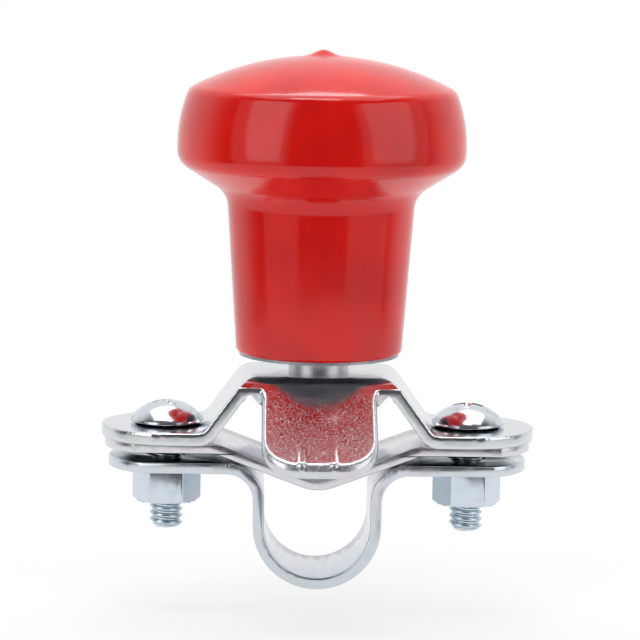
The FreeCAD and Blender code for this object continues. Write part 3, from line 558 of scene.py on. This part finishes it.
def rounded(corners: Sequence[Corner], chord: float) -> list[Spot]:
    """Rounds an open outline's corners with arcs.

    Args:
        corners: The outline's corners, in millimetres.
        chord: The longest step along an arc.

    Returns:
        The outline's points.
    """
    points = [(corners[0][0], corners[0][1])]
    for before, here, after in zip(corners, corners[1:], corners[2:]):
        spot = Vector(here[:2])
        back = (Vector(before[:2]) - spot).normalized()
        on = (Vector(after[:2]) - spot).normalized()
        radius = here[2]
        half = math.acos(max(-1.0, min(1.0, back.dot(on)))) / 2.0
        straight = half > math.radians(89.8)
        if radius < TINY or straight:
            points.append((spot.x, spot.y))
            continue
        centre = spot + (back + on).normalized() * (radius / math.sin(half))
        start = spot + back * (radius / math.tan(half)) - centre
        end = spot + on * (radius / math.tan(half)) - centre
        turn = start.angle_signed(end)
        steps = max(2, math.ceil(abs(turn) * radius / chord))
        for step in range(steps + 1):
            angle = -turn * step / steps
            points.append(tuple(centre + Matrix.Rotation(angle, 2) @ start))
    points.append((corners[-1][0], corners[-1][1]))
    return points


def subdivided(points: Sequence[Spot], longest: float) -> list[Spot]:
    """Divides an outline's long runs into even steps.

    Args:
        points: The outline's points.
        longest: The longest step that is left.

    Returns:
        The outline with the added points.
    """
    result = [points[0]]
    for start, end in zip(points, points[1:]):
        steps = max(1, math.ceil(math.dist(start, end) / longest))
        for step in range(1, steps + 1):
            share = step / steps
            across = start[0] + (end[0] - start[0]) * share
            along = start[1] + (end[1] - start[1]) * share
            result.append((across, along))
    return result


def merged_copy(node: str, joined: bool) -> bmesh.types.BMesh:
    """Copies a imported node's mesh and merges its doubles.

    Args:
        node: The node's name.
        joined: Whether triangles that lie in one plane become one face.

    Returns:
        The copy, in metres.
    """
    mesh = bmesh.new()
    mesh.from_mesh(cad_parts[node].data)
    bmesh.ops.remove_doubles(mesh, verts=mesh.verts, dist=0.001 * MM)
    if joined:
        flat = math.radians(0.4)
        bmesh.ops.dissolve_limit(mesh, angle_limit=flat, verts=mesh.verts, edges=mesh.edges)
    return mesh


def soften(piece: bpy.types.Object, width: float, segments: int, angle: float, full: bool = True) -> None:
    """Adds a bevel along an object's sharp edges.

    Args:
        piece: The object.
        width: The bevel's width in millimetres.
        segments: How many steps it has.
        angle: How sharp an edge has to be to get it, in degrees.
        full: Whether it keeps its width everywhere and the flat faces their flat look.
    """
    bevel = piece.modifiers.new("edge", "BEVEL")
    bevel.width = width * MM
    bevel.segments = segments
    bevel.limit_method = "ANGLE"
    bevel.angle_limit = math.radians(angle)
    bevel.use_clamp_overlap = not full
    bevel.harden_normals = full


def apply_modifiers(piece: bpy.types.Object) -> None:
    """Turns an object's modifiers into plain mesh.

    Args:
        piece: The object, which gets the new mesh.
    """
    bpy.context.view_layer.update()
    graph = bpy.context.evaluated_depsgraph_get()
    result = bpy.data.meshes.new_from_object(piece.evaluated_get(graph))
    old = piece.data
    piece.modifiers.clear()
    piece.data = result
    bpy.data.meshes.remove(old)


def dress(nodes: Sequence[str], finish: Finish) -> None:
    """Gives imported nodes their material.

    Args:
        nodes: The nodes' names.
        finish: What they are finished in.
    """
    for name in nodes:
        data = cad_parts[name].data
        data.materials.clear()
        data.materials.append(finish.material())
        LOG.info("node %s: %s", name, finish.value.name)


def place(piece: bpy.types.Object, body: str, slot: str, *nodes: str) -> None:
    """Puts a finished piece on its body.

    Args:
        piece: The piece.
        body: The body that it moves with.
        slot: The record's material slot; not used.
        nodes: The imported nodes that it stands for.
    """
    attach(piece, body)
    if nodes:
        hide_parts(*nodes)
    LOG.info("piece %s on %s, %d faces", piece.name, body, len(piece.data.polygons))


# Geometry node trees


class GrowingTree(NodeTree):
    """A geometry node tree with named inputs, built step by step."""

    def __init__(self, name: str) -> None:
        """Starts a tree with a mesh input and a mesh output.

        Args:
            name: The tree's name.
        """
        super().__init__(bpy.data.node_groups.new(name, "GeometryNodeTree"))
        self.sockets: dict[str, str] = {}
        self.face = self.tree.interface
        for way in ("INPUT", "OUTPUT"):
            self.face.new_socket(name="Mesh", in_out=way, socket_type="NodeSocketGeometry")
        self.start = self.tree.nodes.new("NodeGroupInput")
        self.end = self.tree.nodes.new("NodeGroupOutput")

    def size(self, name: str, kind: str = "NodeSocketFloat") -> Socket:
        """Adds a named input.

        Args:
            name: What the input is called.
            kind: Its socket type.

        Returns:
            The input's socket inside the tree.
        """
        item = self.face.new_socket(name=name, in_out="INPUT", socket_type=kind)
        self.sockets[name] = item.identifier
        return self.start.outputs[name]

    def close(self, geometry: Socket, finish: Finish) -> None:
        """Ends the tree with real geometry in one material.

        Args:
            geometry: What the tree has made.
            finish: What it is finished in.
        """
        real = self.add("GeometryNodeRealizeInstances", Geometry=geometry)
        dressed = self.add("GeometryNodeSetMaterial", Geometry=real.outputs[0], Material=finish.material())
        self.put(self.end.inputs[0], dressed.outputs[0])

    def grow(self, piece: bpy.types.Object, **values: object) -> None:
        """Runs the tree on an object and keeps the result as its mesh.

        Args:
            piece: The object.
            values: The inputs' values by name.
        """
        modifier = piece.modifiers.new("grow", "NODES")
        modifier.node_group = self.tree
        for name, value in values.items():
            modifier[self.sockets[name]] = value
        apply_modifiers(piece)


# Grip


def bowed(start: Spot, end: Spot, radius: float, step: float, trim: float) -> list[Corner]:
    """Points along an arc that bulges away from the spindle.

    Args:
        start: Radius and height of the arc's upper end.
        end: Radius and height of its lower end.
        radius: The arc's radius.
        step: The distance between points.
        trim: How far from each end the first and last points stay.

    Returns:
        The points between the two ends, as corners that need no rounding.
    """
    run = Vector(end) - Vector(start)
    out = Vector((-run.y, run.x)).normalized()
    half = run.length / 2.0
    centre = (Vector(start) + Vector(end)) / 2.0 - out * math.sqrt(radius**2 - half**2)
    first = math.atan2(start[1] - centre.y, start[0] - centre.x)
    last = math.atan2(end[1] - centre.y, end[0] - centre.x)
    edge = math.copysign(trim / radius, last - first)
    first, last = first + edge, last - edge
    count = max(2, round(abs(last - first) * radius / step))
    corners = []
    for number in range(count + 1):
        angle = first + (last - first) * number / count
        spot = centre + Vector((math.cos(angle), math.sin(angle))) * radius
        corners.append((spot.x, spot.y, 0.0))
    return corners


@dataclass
class Grip:
    """The mushroom knob: a dipped skin turned about the spindle."""

    base_height: float = 31.2
    base: Corner = (15.4, 0.0, 0.8)
    neck: Corner = (17.45, 29.4, 5.0)
    flare: Corner = (26.55, 35.2, 3.6)
    crown_edge: Corner = (24.65, 48.7, 2.8)
    crown_points: int = 47
    crown_step: float = 0.5
    nipple_height: float = 1.1
    nipple_spread: float = 2.1
    wall_radius: float = 28.0
    crown_radius: float = 52.0
    bore: Spot = (11.0, 30.8)
    bore_end: Spot = (8.0, 37.25)
    steps: int = 224
    unevenness: float = 0.05
    open_share: float = 0.6
    cap_share: float = 1.8
    cap_under: float = 31.5
    cap_spread: float = 3.5
    wave_size: float = 9.0
    wave_squash: float = 1.6
    tip_radius: float = 4.0
    dust_density: float = 9000.0
    dust_size: float = 0.07
    dust_heights: Band = (1.0, 54.5)
    dust_free: Spot = (12.0, 50.0)

    def outline(self) -> list[Spot]:
        """The skin's section, from the crown's tip down, under and up inside.

        Returns:
            Radius and height above the base of each point, in millimetres.
        """
        centre = self.crown_edge[1] - math.sqrt(self.crown_radius**2 - self.crown_edge[0] ** 2)
        corners = []
        for number in range(self.crown_points):
            radius = number * self.crown_step
            bell = self.nipple_height * math.exp(-((radius / self.nipple_spread) ** 2))
            corners.append((radius, centre + math.sqrt(self.crown_radius**2 - radius**2) + bell, 0.0))
        corners.append(self.crown_edge)
        corners += bowed(self.crown_edge[:2], self.flare[:2], self.wall_radius, step=0.8, trim=1.9)
        corners += [self.flare, self.neck, self.base]
        corners += [(self.bore[0], 0.0, 0.5), (*self.bore, 0.0)]
        corners += [(self.bore_end[0], self.bore[1], 0.0), (*self.bore_end, 0.0)]
        corners.append((0.0, self.bore_end[1], 0.0))
        return subdivided(rounded(corners, chord=0.25), longest=0.9)

    def settle(self, mesh: bmesh.types.BMesh) -> None:
        """Draws the skin in a little and unevenly, as a dipped coat sets.

        Args:
            mesh: The skin's mesh, changed in place.
        """
        for vertex in mesh.verts:
            radius = math.hypot(vertex.co.x, vertex.co.y) / MM
            height = vertex.co.z / MM - self.base_height
            in_bore = radius < self.bore[0] * 1.05 and height < self.bore_end[1] + 1.0
            if in_bore or radius < TINY:
                continue
            spot = Vector((vertex.co.x, vertex.co.y, vertex.co.z * self.wave_squash))
            wave = 0.5 + 0.5 * noise.noise(spot / (self.wave_size * MM))
            under_cap = math.exp(-(((height - self.cap_under) / self.cap_spread) ** 2))
            inward = self.unevenness * (self.open_share + self.cap_share * under_cap) * wave
            shrink = 1.0 - inward / max(radius, self.tip_radius)
            vertex.co.x *= shrink
            vertex.co.y *= shrink

    def dust_tree(self) -> GrowingTree:
        """The tree that scatters small round specks over the skin.

        Returns:
            The tree, with density, size and seed inputs.
        """
        tree = GrowingTree("dust_on_skin")
        density, width = tree.size("Density"), tree.size("Width")
        seed = tree.size("Seed", "NodeSocketInt")
        points = tree.add(
            "GeometryNodeDistributePointsOnFaces",
            Mesh=tree.start.outputs["Mesh"],
            Density=density,
            Seed=seed,
        )
        speck = tree.add("GeometryNodeMeshIcoSphere", Subdivisions=2, Radius=width)
        spread = tree.add("FunctionNodeRandomValue", Min=0.4, Max=1.2, Seed=seed)
        placed = tree.add(
            "GeometryNodeInstanceOnPoints",
            Points=points.outputs["Points"],
            Instance=speck.outputs["Mesh"],
            Scale=spread.outputs["Value"],
        )
        tree.close(placed.outputs["Instances"], Finish.VINYL)
        return tree

    def build(self) -> None:
        """Makes the skin and the dust in it."""
        skin_mesh = lathe(self.outline(), self.base_height, self.steps)
        self.settle(skin_mesh)
        dust_bed = skin_mesh.copy()
        inner = [face for face in dust_bed.faces if self.is_hidden(face)]
        bmesh.ops.delete(dust_bed, geom=inner, context="FACES")
        skin = to_object("grip_skin", skin_mesh, Finish.VINYL)
        place(skin, "knob", "red_grip", "knob_grip")
        dust = to_object("grip_dust", dust_bed, Finish.VINYL)
        self.dust_tree().grow(dust, Density=self.dust_density, Width=self.dust_size * MM, Seed=7)
        place(dust, "knob", "red_grip")

    def is_hidden(self, face: bmesh.types.BMFace) -> bool:
        """Whether a face is under the grip, in its bore or on the nipple's tip.

        Args:
            face: A face of the skin.

        Returns:
            Whether it gets no dust.
        """
        middle = face.calc_center_median()
        height = middle.z / MM - self.base_height
        radius = math.hypot(middle.x, middle.y) / MM
        low, high = self.dust_heights
        in_bore = radius < self.dust_free[0] and height < self.dust_free[1]
        return height < low or height > high or in_bore


# Clamp


@dataclass
class Tongue:
    """The bracket's tongue: its rolled outline, two drawn ridges and a crease."""

    slope: float = 35.0
    reach: float = 29.5
    tip_height: float = 14.21
    thick: float = 2.3
    half_width: float = 10.5
    corner: float = 7.0
    start: float = 11.6
    bow: float = 0.6
    wing: float = 13.5
    wing_end: float = 12.75
    leg_inset: float = 0.3
    bend_start: float = 8.8
    bend_inner: float = 2.5
    plate_under: float = 25.35
    shoulder_start: float = 11.3
    shoulder_inner: float = 2.6
    press_start: float = 13.2
    press_fade: float = 1.5
    side_roll: float = 1.0
    tip_roll: float = 2.2
    tip_span: float = 7.7
    roll_share: float = 0.8
    ridge_height: float = 0.36
    ridge_places: tuple[float, float] = (-3.3, 2.5)
    ridge_start: float = 0.8
    ridge_lead: float = 1.6
    ridge_length: float = 8.4
    ridge_end_width: float = 0.22
    ridge_tip_width: float = 0.67
    crease_place: float = 9.0
    crease_middle: float = -0.3
    crease_height: float = 0.05
    crease_width: float = 0.3
    crease_half_length: float = 1.9
    crease_fade: float = 0.2

    def edge_distance(self, across: float, along: float) -> float:
        """How far a point lies inside the tongue's outline.

        Args:
            across: Its distance from the middle.
            along: Its distance from the tip, up the slope.

        Returns:
            The distance in millimetres, 0 on the outline.
        """
        inset = self.half_width - self.corner
        if across > inset and along < self.corner:
            return max(0.0, self.corner - math.hypot(across - inset, self.corner - along))
        return max(0.0, min(self.half_width - across, along))

    def drop(self, across: float, along: float) -> float:
        """How far the rolled outline lowers the upper face at a point.

        Args:
            across: Its distance from the middle.
            along: Its distance from the tip, up the slope.

        Returns:
            The drop in millimetres.
        """
        near_tip = held(1.0 - along / self.tip_span)
        roll = self.side_roll + (self.tip_roll - self.side_roll) * near_tip
        inside = self.edge_distance(across, along)
        if inside >= roll:
            return 0.0
        return (roll - math.sqrt(roll**2 - (roll - inside) ** 2)) * self.roll_share

    def rise(self, across: float, along: float) -> float:
        """How far the ridges and the crease raise the upper face at a point.

        Args:
            across: Its place from the middle, signed.
            along: Its distance from the tip, up the slope.

        Returns:
            The rise in millimetres.
        """
        total = 0.0
        share = held(1.0 - max(0.0, along - self.ridge_start) / self.ridge_length)
        share *= held(along / self.ridge_lead)
        if share > 0.0:
            width = self.ridge_end_width + (self.ridge_tip_width - self.ridge_end_width) * share
            for middle in self.ridge_places:
                total += self.ridge_height * share**0.6 * math.exp(-(((across - middle) / width) ** 2))
        near = math.exp(-(((along - self.crease_place) / self.crease_width) ** 2))
        past = abs(across - self.crease_middle) - self.crease_half_length
        inside = 1.0 / (1.0 + math.exp(past / self.crease_fade))
        return total + self.crease_height * near * inside

    def sag(self, along: float) -> float:
        """How far the tongue bows down between its bend and its tip.

        Args:
            along: The distance from the tip, up the slope.

        Returns:
            The bow in millimetres.
        """
        length = (self.reach - self.start) / math.cos(math.radians(self.slope))
        share = held(1.0 - along / length)
        peak = 4.0 / 27.0
        return self.bow * share * (1.0 - share) ** 2 / peak

    def wing_floor(self, across: float, out: float) -> float:
        """The lowest height of the wing beside the tongue, where it runs into the leg.

        Args:
            across: The distance from the middle.
            out: The distance from the clamp's own plane.

        Returns:
            The height in millimetres.
        """
        turn = math.radians(self.slope)
        bent = self.bend_inner * math.sin(turn)
        past = max(0.0, out - self.bend_start)
        margin = self.bend_inner - math.sqrt(max(0.0, self.bend_inner**2 - min(past, bent) ** 2))
        margin += max(0.0, past - bent) * math.tan(turn)
        steepest = self.shoulder_inner * 0.99
        over = min(max(0.0, across - self.shoulder_start), steepest)
        leg = self.shoulder_inner - math.sqrt(self.shoulder_inner**2 - over**2)
        share = held((across - self.half_width) / (self.wing - self.leg_inset - self.half_width))
        share = share * share * (3.0 - 2.0 * share)
        return self.plate_under - margin * (1.0 - share) - leg * share

    def form(self, data: bpy.types.Mesh) -> None:
        """Presses both tongues of a bracket's mesh and blends their wings into the legs.

        Args:
            data: The mesh, changed in place.
        """
        turn = math.radians(self.slope)
        for vertex in data.vertices:
            side = 1.0 if vertex.co.y > 0.0 else -1.0
            across, out, height = vertex.co.x / MM, abs(vertex.co.y) / MM, vertex.co.z / MM
            if self.half_width < abs(across) < self.wing and self.bend_start < out < self.wing_end:
                height = max(height, self.wing_floor(abs(across), out))
                vertex.co.z = height * MM
            if out < self.start or abs(across) > self.wing:
                continue
            top = self.tip_height + (self.reach - out) * math.tan(turn)
            depth = (top - height) * math.cos(turn)
            along = (self.reach - out - depth * math.sin(turn)) / math.cos(turn)
            pressed = held(1.0 - depth / self.thick) * held((out - self.press_start) / self.press_fade)
            down = (self.drop(abs(across), along) - self.rise(across, along)) * pressed
            down += self.sag(along) * held((self.wing - abs(across)) / (self.wing - self.half_width))
            vertex.co.y -= side * down * math.sin(turn) * MM
            vertex.co.z -= down * math.cos(turn) * MM
        mesh = bmesh.new()
        mesh.from_mesh(data)
        bmesh.ops.remove_doubles(mesh, verts=mesh.verts, dist=0.03 * MM)
        mesh.to_mesh(data)
        mesh.free()


@dataclass
class PressedPiece:
    """A plate of the clamp with the soft edges of a pressing, bevelled or remeshed."""

    name: str
    node: str
    body: str
    finish: Finish
    edge: float = 0.35
    voxel: float = 0.0
    smoothing: int = 2

    def build(self, shape: Callable[[bpy.types.Mesh], None] | None = None) -> None:
        """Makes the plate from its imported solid.

        Args:
            shape: What else is pressed into its mesh.
        """
        mesh = merged_copy(self.node, joined=not self.voxel)
        piece = to_object(self.name, mesh, self.finish)
        if self.voxel:
            grid = piece.modifiers.new("grid", "REMESH")
            grid.mode = "VOXEL"
            grid.voxel_size = self.voxel * MM
            grid.use_smooth_shade = True
            soft = piece.modifiers.new("soft", "SMOOTH")
            soft.factor = 0.5
            soft.iterations = self.smoothing
        else:
            soften(piece, self.edge, segments=4, angle=32.0)
        apply_modifiers(piece)
        if shape:
            shape(piece.data)
        place(piece, self.body, "zinc_plate", self.node)


# Fasteners


@dataclass
class TrussScrew:
    """A truss-head screw with a cross recess and a rolled thread."""

    side: str
    across: float
    recess_turn: float
    seat_height: float = 17.45
    head_radius: float = 6.8
    seat_radius: float = 5.8
    lip: float = 0.5
    rim: float = 0.4
    crown: float = 4.3
    dome_points: int = 14
    dome_inset: float = 0.45
    shank: float = 3.09
    shank_length: float = 0.8
    core: float = 2.55
    core_start: float = 1.5
    end_height: float = -2.2
    end_chamfer: float = 0.5
    pitch: float = 1.27
    thread_sunk: float = 0.1
    thread_start: float = 0.75
    thread_end: float = 1.4
    recess_depth: float = 2.0
    recess_over: float = 0.6
    # Half the length and half the width of an arm, at the floor and above the crown
    recess_floor: tuple[float, float] = (1.5, 0.4)
    recess_mouth: tuple[float, float] = (3.9, 0.72)
    steps: int = 96

    def outline(self) -> list[Spot]:
        """The turned section from the crown down to the screw's end.

        Returns:
            Radius and height of each point, in millimetres.
        """
        lip = self.seat_height + self.lip
        rim = lip + self.rim
        crown = self.seat_height + self.crown
        rise = crown - rim
        dome = (self.head_radius**2 + rise**2) / (2.0 * rise)
        corners = [(0.0, crown, 0.0)]
        for number in range(1, self.dome_points + 1):
            radius = (self.head_radius - self.dome_inset) * number / self.dome_points
            corners.append((radius, crown - dome + math.sqrt(dome**2 - radius**2), 0.0))
        corners += [
            (self.head_radius, rim, 0.18),
            (self.head_radius, lip, 0.15),
            (self.seat_radius, self.seat_height, 0.0),
            (self.shank, self.seat_height, 0.0),
            (self.shank, self.seat_height - self.shank_length, 0.2),
            (self.core, self.seat_height - self.core_start, 0.2),
            (self.core, self.end_height + self.end_chamfer, 0.0),
            (self.core - self.end_chamfer, self.end_height, 0.0),
            (0.0, self.end_height, 0.0),
        ]
        return rounded(corners, chord=0.08)

    def recess(self) -> bmesh.types.BMesh:
        """The tapered cross that is sunk in the head.

        Returns:
            The cutter's mesh in metres, about the screw's own line.
        """
        mesh = bmesh.new()
        crown = self.seat_height + self.crown
        levels = (
            (crown - self.recess_depth, *self.recess_floor),
            (crown + self.recess_over, *self.recess_mouth),
        )
        for turn in (0.0, 90.0):
            angle = math.radians(turn + self.recess_turn)
            corners = []
            for height, reach, half in levels:
                for x, y in ((-reach, -half), (reach, -half), (reach, half), (-reach, half)):
                    across = x * math.cos(angle) - y * math.sin(angle)
                    along = x * math.sin(angle) + y * math.cos(angle)
                    corners.append(mesh.verts.new(Vector((across, along, height)) * MM))
            mesh.faces.new(corners[3::-1])
            mesh.faces.new(corners[4:])
            for number in range(4):
                after = (number + 1) % 4
                pair = (corners[number], corners[after], corners[after + 4], corners[number + 4])
                mesh.faces.new(pair)
        return mesh

    def thread_tree(self) -> GrowingTree:
        """The tree that winds a ridge up the screw's core.

        Returns:
            The tree, with turns, radius, rise and depth inputs.
        """
        tree = GrowingTree(f"{self.side}_thread")
        turns, radius = tree.size("Turns"), tree.size("Radius")
        rise, depth = tree.size("Rise"), tree.size("Depth")
        spiral = tree.add(
            "GeometryNodeCurveSpiral",
            Resolution=32,
            Rotations=turns,
            Start_Radius=radius,
            End_Radius=radius,
            Height=rise,
        )
        upright = tree.add("GeometryNodeSetCurveNormal", mode="Z_UP", Curve=spiral.outputs["Curve"])
        ridge = tree.add("GeometryNodeCurvePrimitiveCircle", Resolution=4, Radius=depth)
        wound = tree.add(
            "GeometryNodeCurveToMesh",
            Curve=upright.outputs["Curve"],
            Profile_Curve=ridge.outputs["Curve"],
            Fill_Caps=True,
        )
        tree.close(wound.outputs["Mesh"], Finish.THREAD_ZINC)
        return tree

    def build(self) -> None:
        """Makes the head and shank and the thread, each as a piece."""
        name, node = f"{self.side}_truss_screw", f"{self.side}_screw"
        body = to_object(name, lathe(self.outline(), 0.0, self.steps), Finish.SCREW_ZINC)
        cutter = to_object(f"{name}_cutter", self.recess(), Finish.SCREW_ZINC)
        cut = body.modifiers.new("recess", "BOOLEAN")
        cut.object = cutter
        cut.operation = "DIFFERENCE"
        cut.solver = "EXACT"
        cut.use_self = True
        soften(body, 0.09, segments=2, angle=38.0, full=False)
        apply_modifiers(body)
        bpy.data.objects.remove(cutter)
        body.data.transform(Matrix.Translation((self.across * MM, 0.0, 0.0)))
        place(body, node, "zinc_plate", node)
        thread = to_object(f"{name}_thread", bmesh.new(), Finish.THREAD_ZINC)
        low = self.end_height + self.thread_start
        rise = self.seat_height - self.thread_end - low
        self.thread_tree().grow(
            thread,
            Turns=rise / self.pitch,
            Radius=(self.core - self.thread_sunk) * MM,
            Rise=rise * MM,
            Depth=(self.shank - self.core + self.thread_sunk) * MM,
        )
        thread.data.transform(Matrix.Translation(Vector((self.across, 0.0, low)) * MM))
        place(thread, node, "zinc_plate")


@dataclass
class HexNut:
    """A hexagon nut with soft corners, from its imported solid."""

    side: str
    edge: float = 0.16

    def build(self) -> None:
        """Makes the nut."""
        node = f"{self.side}_nut"
        piece = to_object(f"{self.side}_hex_nut", merged_copy(node, joined=True), Finish.NUT_ZINC)
        soften(piece, self.edge, segments=3, angle=28.0)
        apply_modifiers(piece)
        place(piece, "strap", "zinc_plate", node)


# Bearings and spindle, mostly inside the knob


@dataclass(frozen=True)
class BearingStack:
    """The spindle and the two ball bearings, dressed as packed."""

    bearings: tuple[str, str] = ("lower_bearing", "upper_bearing")

    def dress(self) -> None:
        """Gives each piece of the stack its finish."""
        dress(("spindle", "inner_spacer", "outer_spacer", "spindle_washer"), Finish.TURNED)
        dress(("base_disc", "retaining_clip"), Finish.DARK_DISC)
        for bearing in self.bearings:
            rings = [f"{bearing}_inner_ring", f"{bearing}_outer_ring", f"{bearing}_balls"]
            dress(rings, Finish.GROUND)
            dress([f"{bearing}_cage"], Finish.NYLON)


# Studio


@dataclass(frozen=True)
class Lamp:
    """One soft box that looks at the object, with its place and size in metres."""

    name: str
    spot: Point
    width: float
    height: float
    brightness: float
    aim: Point = (0.0, 0.0, 0.04)

    def build(self) -> None:
        """Makes the lamp; brightness is what a mirror shows of it."""
        light = bpy.data.lights.new(self.name, "AREA")
        light.shape = "RECTANGLE"
        light.size = self.width
        light.size_y = self.height
        light.energy = self.brightness * self.width * self.height * math.pi
        lamp = linked(self.name, light)
        lamp.location = self.spot
        lamp.rotation_euler = (Vector(self.aim) - Vector(self.spot)).to_track_quat("-Z", "Y").to_euler()


@dataclass
class Studio:
    """A white floor that fades into a white backdrop, a pale room and seven soft boxes."""

    floor_height: float = -17.2
    floor_radius: float = 240.0
    fade_radius: float = 200.0
    near_white: float = 0.72
    front_end: float = -0.15
    front_level: float = 0.1
    back_end: float = 0.5
    back_level: float = 0.95
    lamps: tuple[Lamp, ...] = (
        Lamp("overhead_box", (0.0, 0.06, 0.6), 0.7, 0.5, 1.6),
        Lamp("key_strip", (-0.03, -0.13, 0.58), 0.26, 0.09, 7.0),
        Lamp("rear_strip", (-0.03, 0.27, 0.61), 0.3, 0.08, 4.5),
        Lamp("left_box", (-0.46, -0.42, 0.27), 0.36, 0.66, 1.25),
        Lamp("left_fill", (-0.52, -0.40, 0.16), 0.6, 0.9, 0.45),
        Lamp("right_box", (0.56, -0.36, 0.27), 0.5, 0.66, 0.9),
        Lamp("right_fill", (0.60, -0.34, 0.16), 0.8, 0.9, 0.5),
    )

    def floor(self) -> None:
        """Lays a white floor that keeps the object's shadow."""
        mesh = bmesh.new()
        level = Matrix.Translation((0.0, 0.0, self.floor_height * MM))
        radius = self.floor_radius * MM
        bmesh.ops.create_circle(mesh, cap_ends=True, radius=radius, segments=96, matrix=level)
        data = bpy.data.meshes.new("floor")
        mesh.to_mesh(data)
        mesh.free()
        paint = Paint("white_floor")
        white = paint.coat(Base_Color=(0.9, 0.9, 0.9), Roughness=0.8, Specular_IOR_Level=0.1)
        glow = paint.add("ShaderNodeEmission", Color=(1.0, 1.0, 1.0))
        rays = paint.add("ShaderNodeLightPath")
        seen = paint.math("MAXIMUM", rays.outputs["Is Camera Ray"], rays.outputs["Is Glossy Ray"])
        far = paint.math("DIVIDE", paint.radius(), self.fade_radius * MM)
        far = paint.math("POWER", far, 2.0)
        share = paint.span(far, 0.1, 1.0, self.near_white, 1.0)
        blend = paint.add("ShaderNodeMixShader", Fac=paint.product(seen, share))
        paint.put(blend.inputs[1], paint.surface.outputs[0])
        paint.put(blend.inputs[2], glow.outputs[0])
        paint.fill(paint.tree.nodes["Material Output"], Surface=blend.outputs[0])
        data.materials.append(white)
        linked("floor", data)

    def room(self) -> None:
        """Makes the room: white to the camera, paler behind the object than before it."""
        world = bpy.data.worlds.new("room")
        world.use_nodes = True
        bpy.context.scene.world = world
        nodes = NodeTree(world.node_tree)
        toward = nodes.add("ShaderNodeTexCoord").outputs["Generated"]
        back = nodes.add("ShaderNodeSeparateXYZ", Vector=toward).outputs["Y"]
        level = nodes.span(back, self.front_end, self.back_end, self.front_level, self.back_level)
        seen = nodes.add("ShaderNodeLightPath").outputs["Is Camera Ray"]
        strength = nodes.add("ShaderNodeMix", Factor=seen, A=level, B=1.0).outputs["Result"]
        nodes.fill(world.node_tree.nodes["Background"], Color=(1.0, 1.0, 1.0), Strength=strength)

    def build(self) -> None:
        """Makes the floor, the room and the lamps."""
        self.floor()
        self.room()
        for lamp in self.lamps:
            lamp.build()
        bpy.context.scene.view_settings.view_transform = "Standard"


@dataclass
class PhotoCamera:
    """The camera where the photograph was taken from."""

    azimuth: float = -1.257
    elevation: float = 7.972
    roll: float = 0.941
    distance: float = 574.5
    focal: float = 3090.0
    target: Point = (0.139, 0.0, 37.044)
    image_width: int = 640
    sensor: float = 36.0

    def build(self) -> None:
        """Makes the camera and gives it to the scene."""
        azimuth, elevation = math.radians(self.azimuth), math.radians(self.elevation)
        level = Vector((math.sin(azimuth), -math.cos(azimuth), 0.0))
        toward = level * math.cos(elevation) + Vector((0.0, 0.0, math.sin(elevation)))
        right = Vector((math.cos(azimuth), math.sin(azimuth), 0.0))
        axes = Matrix((right, toward.cross(right), toward)).transposed()
        roll = Matrix.Rotation(math.radians(self.roll), 3, toward)
        camera = bpy.data.cameras.new("photo_camera")
        camera.sensor_width = self.sensor
        camera.lens = self.focal / self.image_width * self.sensor
        camera.clip_start = 0.02
        camera.clip_end = 20.0
        holder = linked("photo_camera", camera)
        spot = (Vector(self.target) + toward * self.distance) * MM
        holder.matrix_world = Matrix.LocRotScale(spot, roll @ axes, None)
        bpy.context.scene.camera = holder


def main() -> None:
    """Builds every part of the scene in order."""
    logging.basicConfig(level=logging.INFO, format="%(name)s: %(message)s")
    PhotoCamera().build()
    Grip().build()
    bracket = PressedPiece(
        "bracket_pressing", "top_bracket", "bracket", Finish.BRACKET_ZINC, voxel=0.3, smoothing=4
    )
    bracket.build(Tongue().form)
    PressedPiece("saddle_pressing", "saddle_plate", "bracket", Finish.SADDLE_ZINC).build()
    PressedPiece("strap_pressing", "u_strap", "strap", Finish.STRAP_ZINC).build()
    TrussScrew("left", across=-28.07, recess_turn=20.0).build()
    TrussScrew("right", across=28.07, recess_turn=-12.0).build()
    HexNut("left").build()
    HexNut("right").build()
    BearingStack().dress()
    Studio().build()


if __name__ == "__main__":
    main()
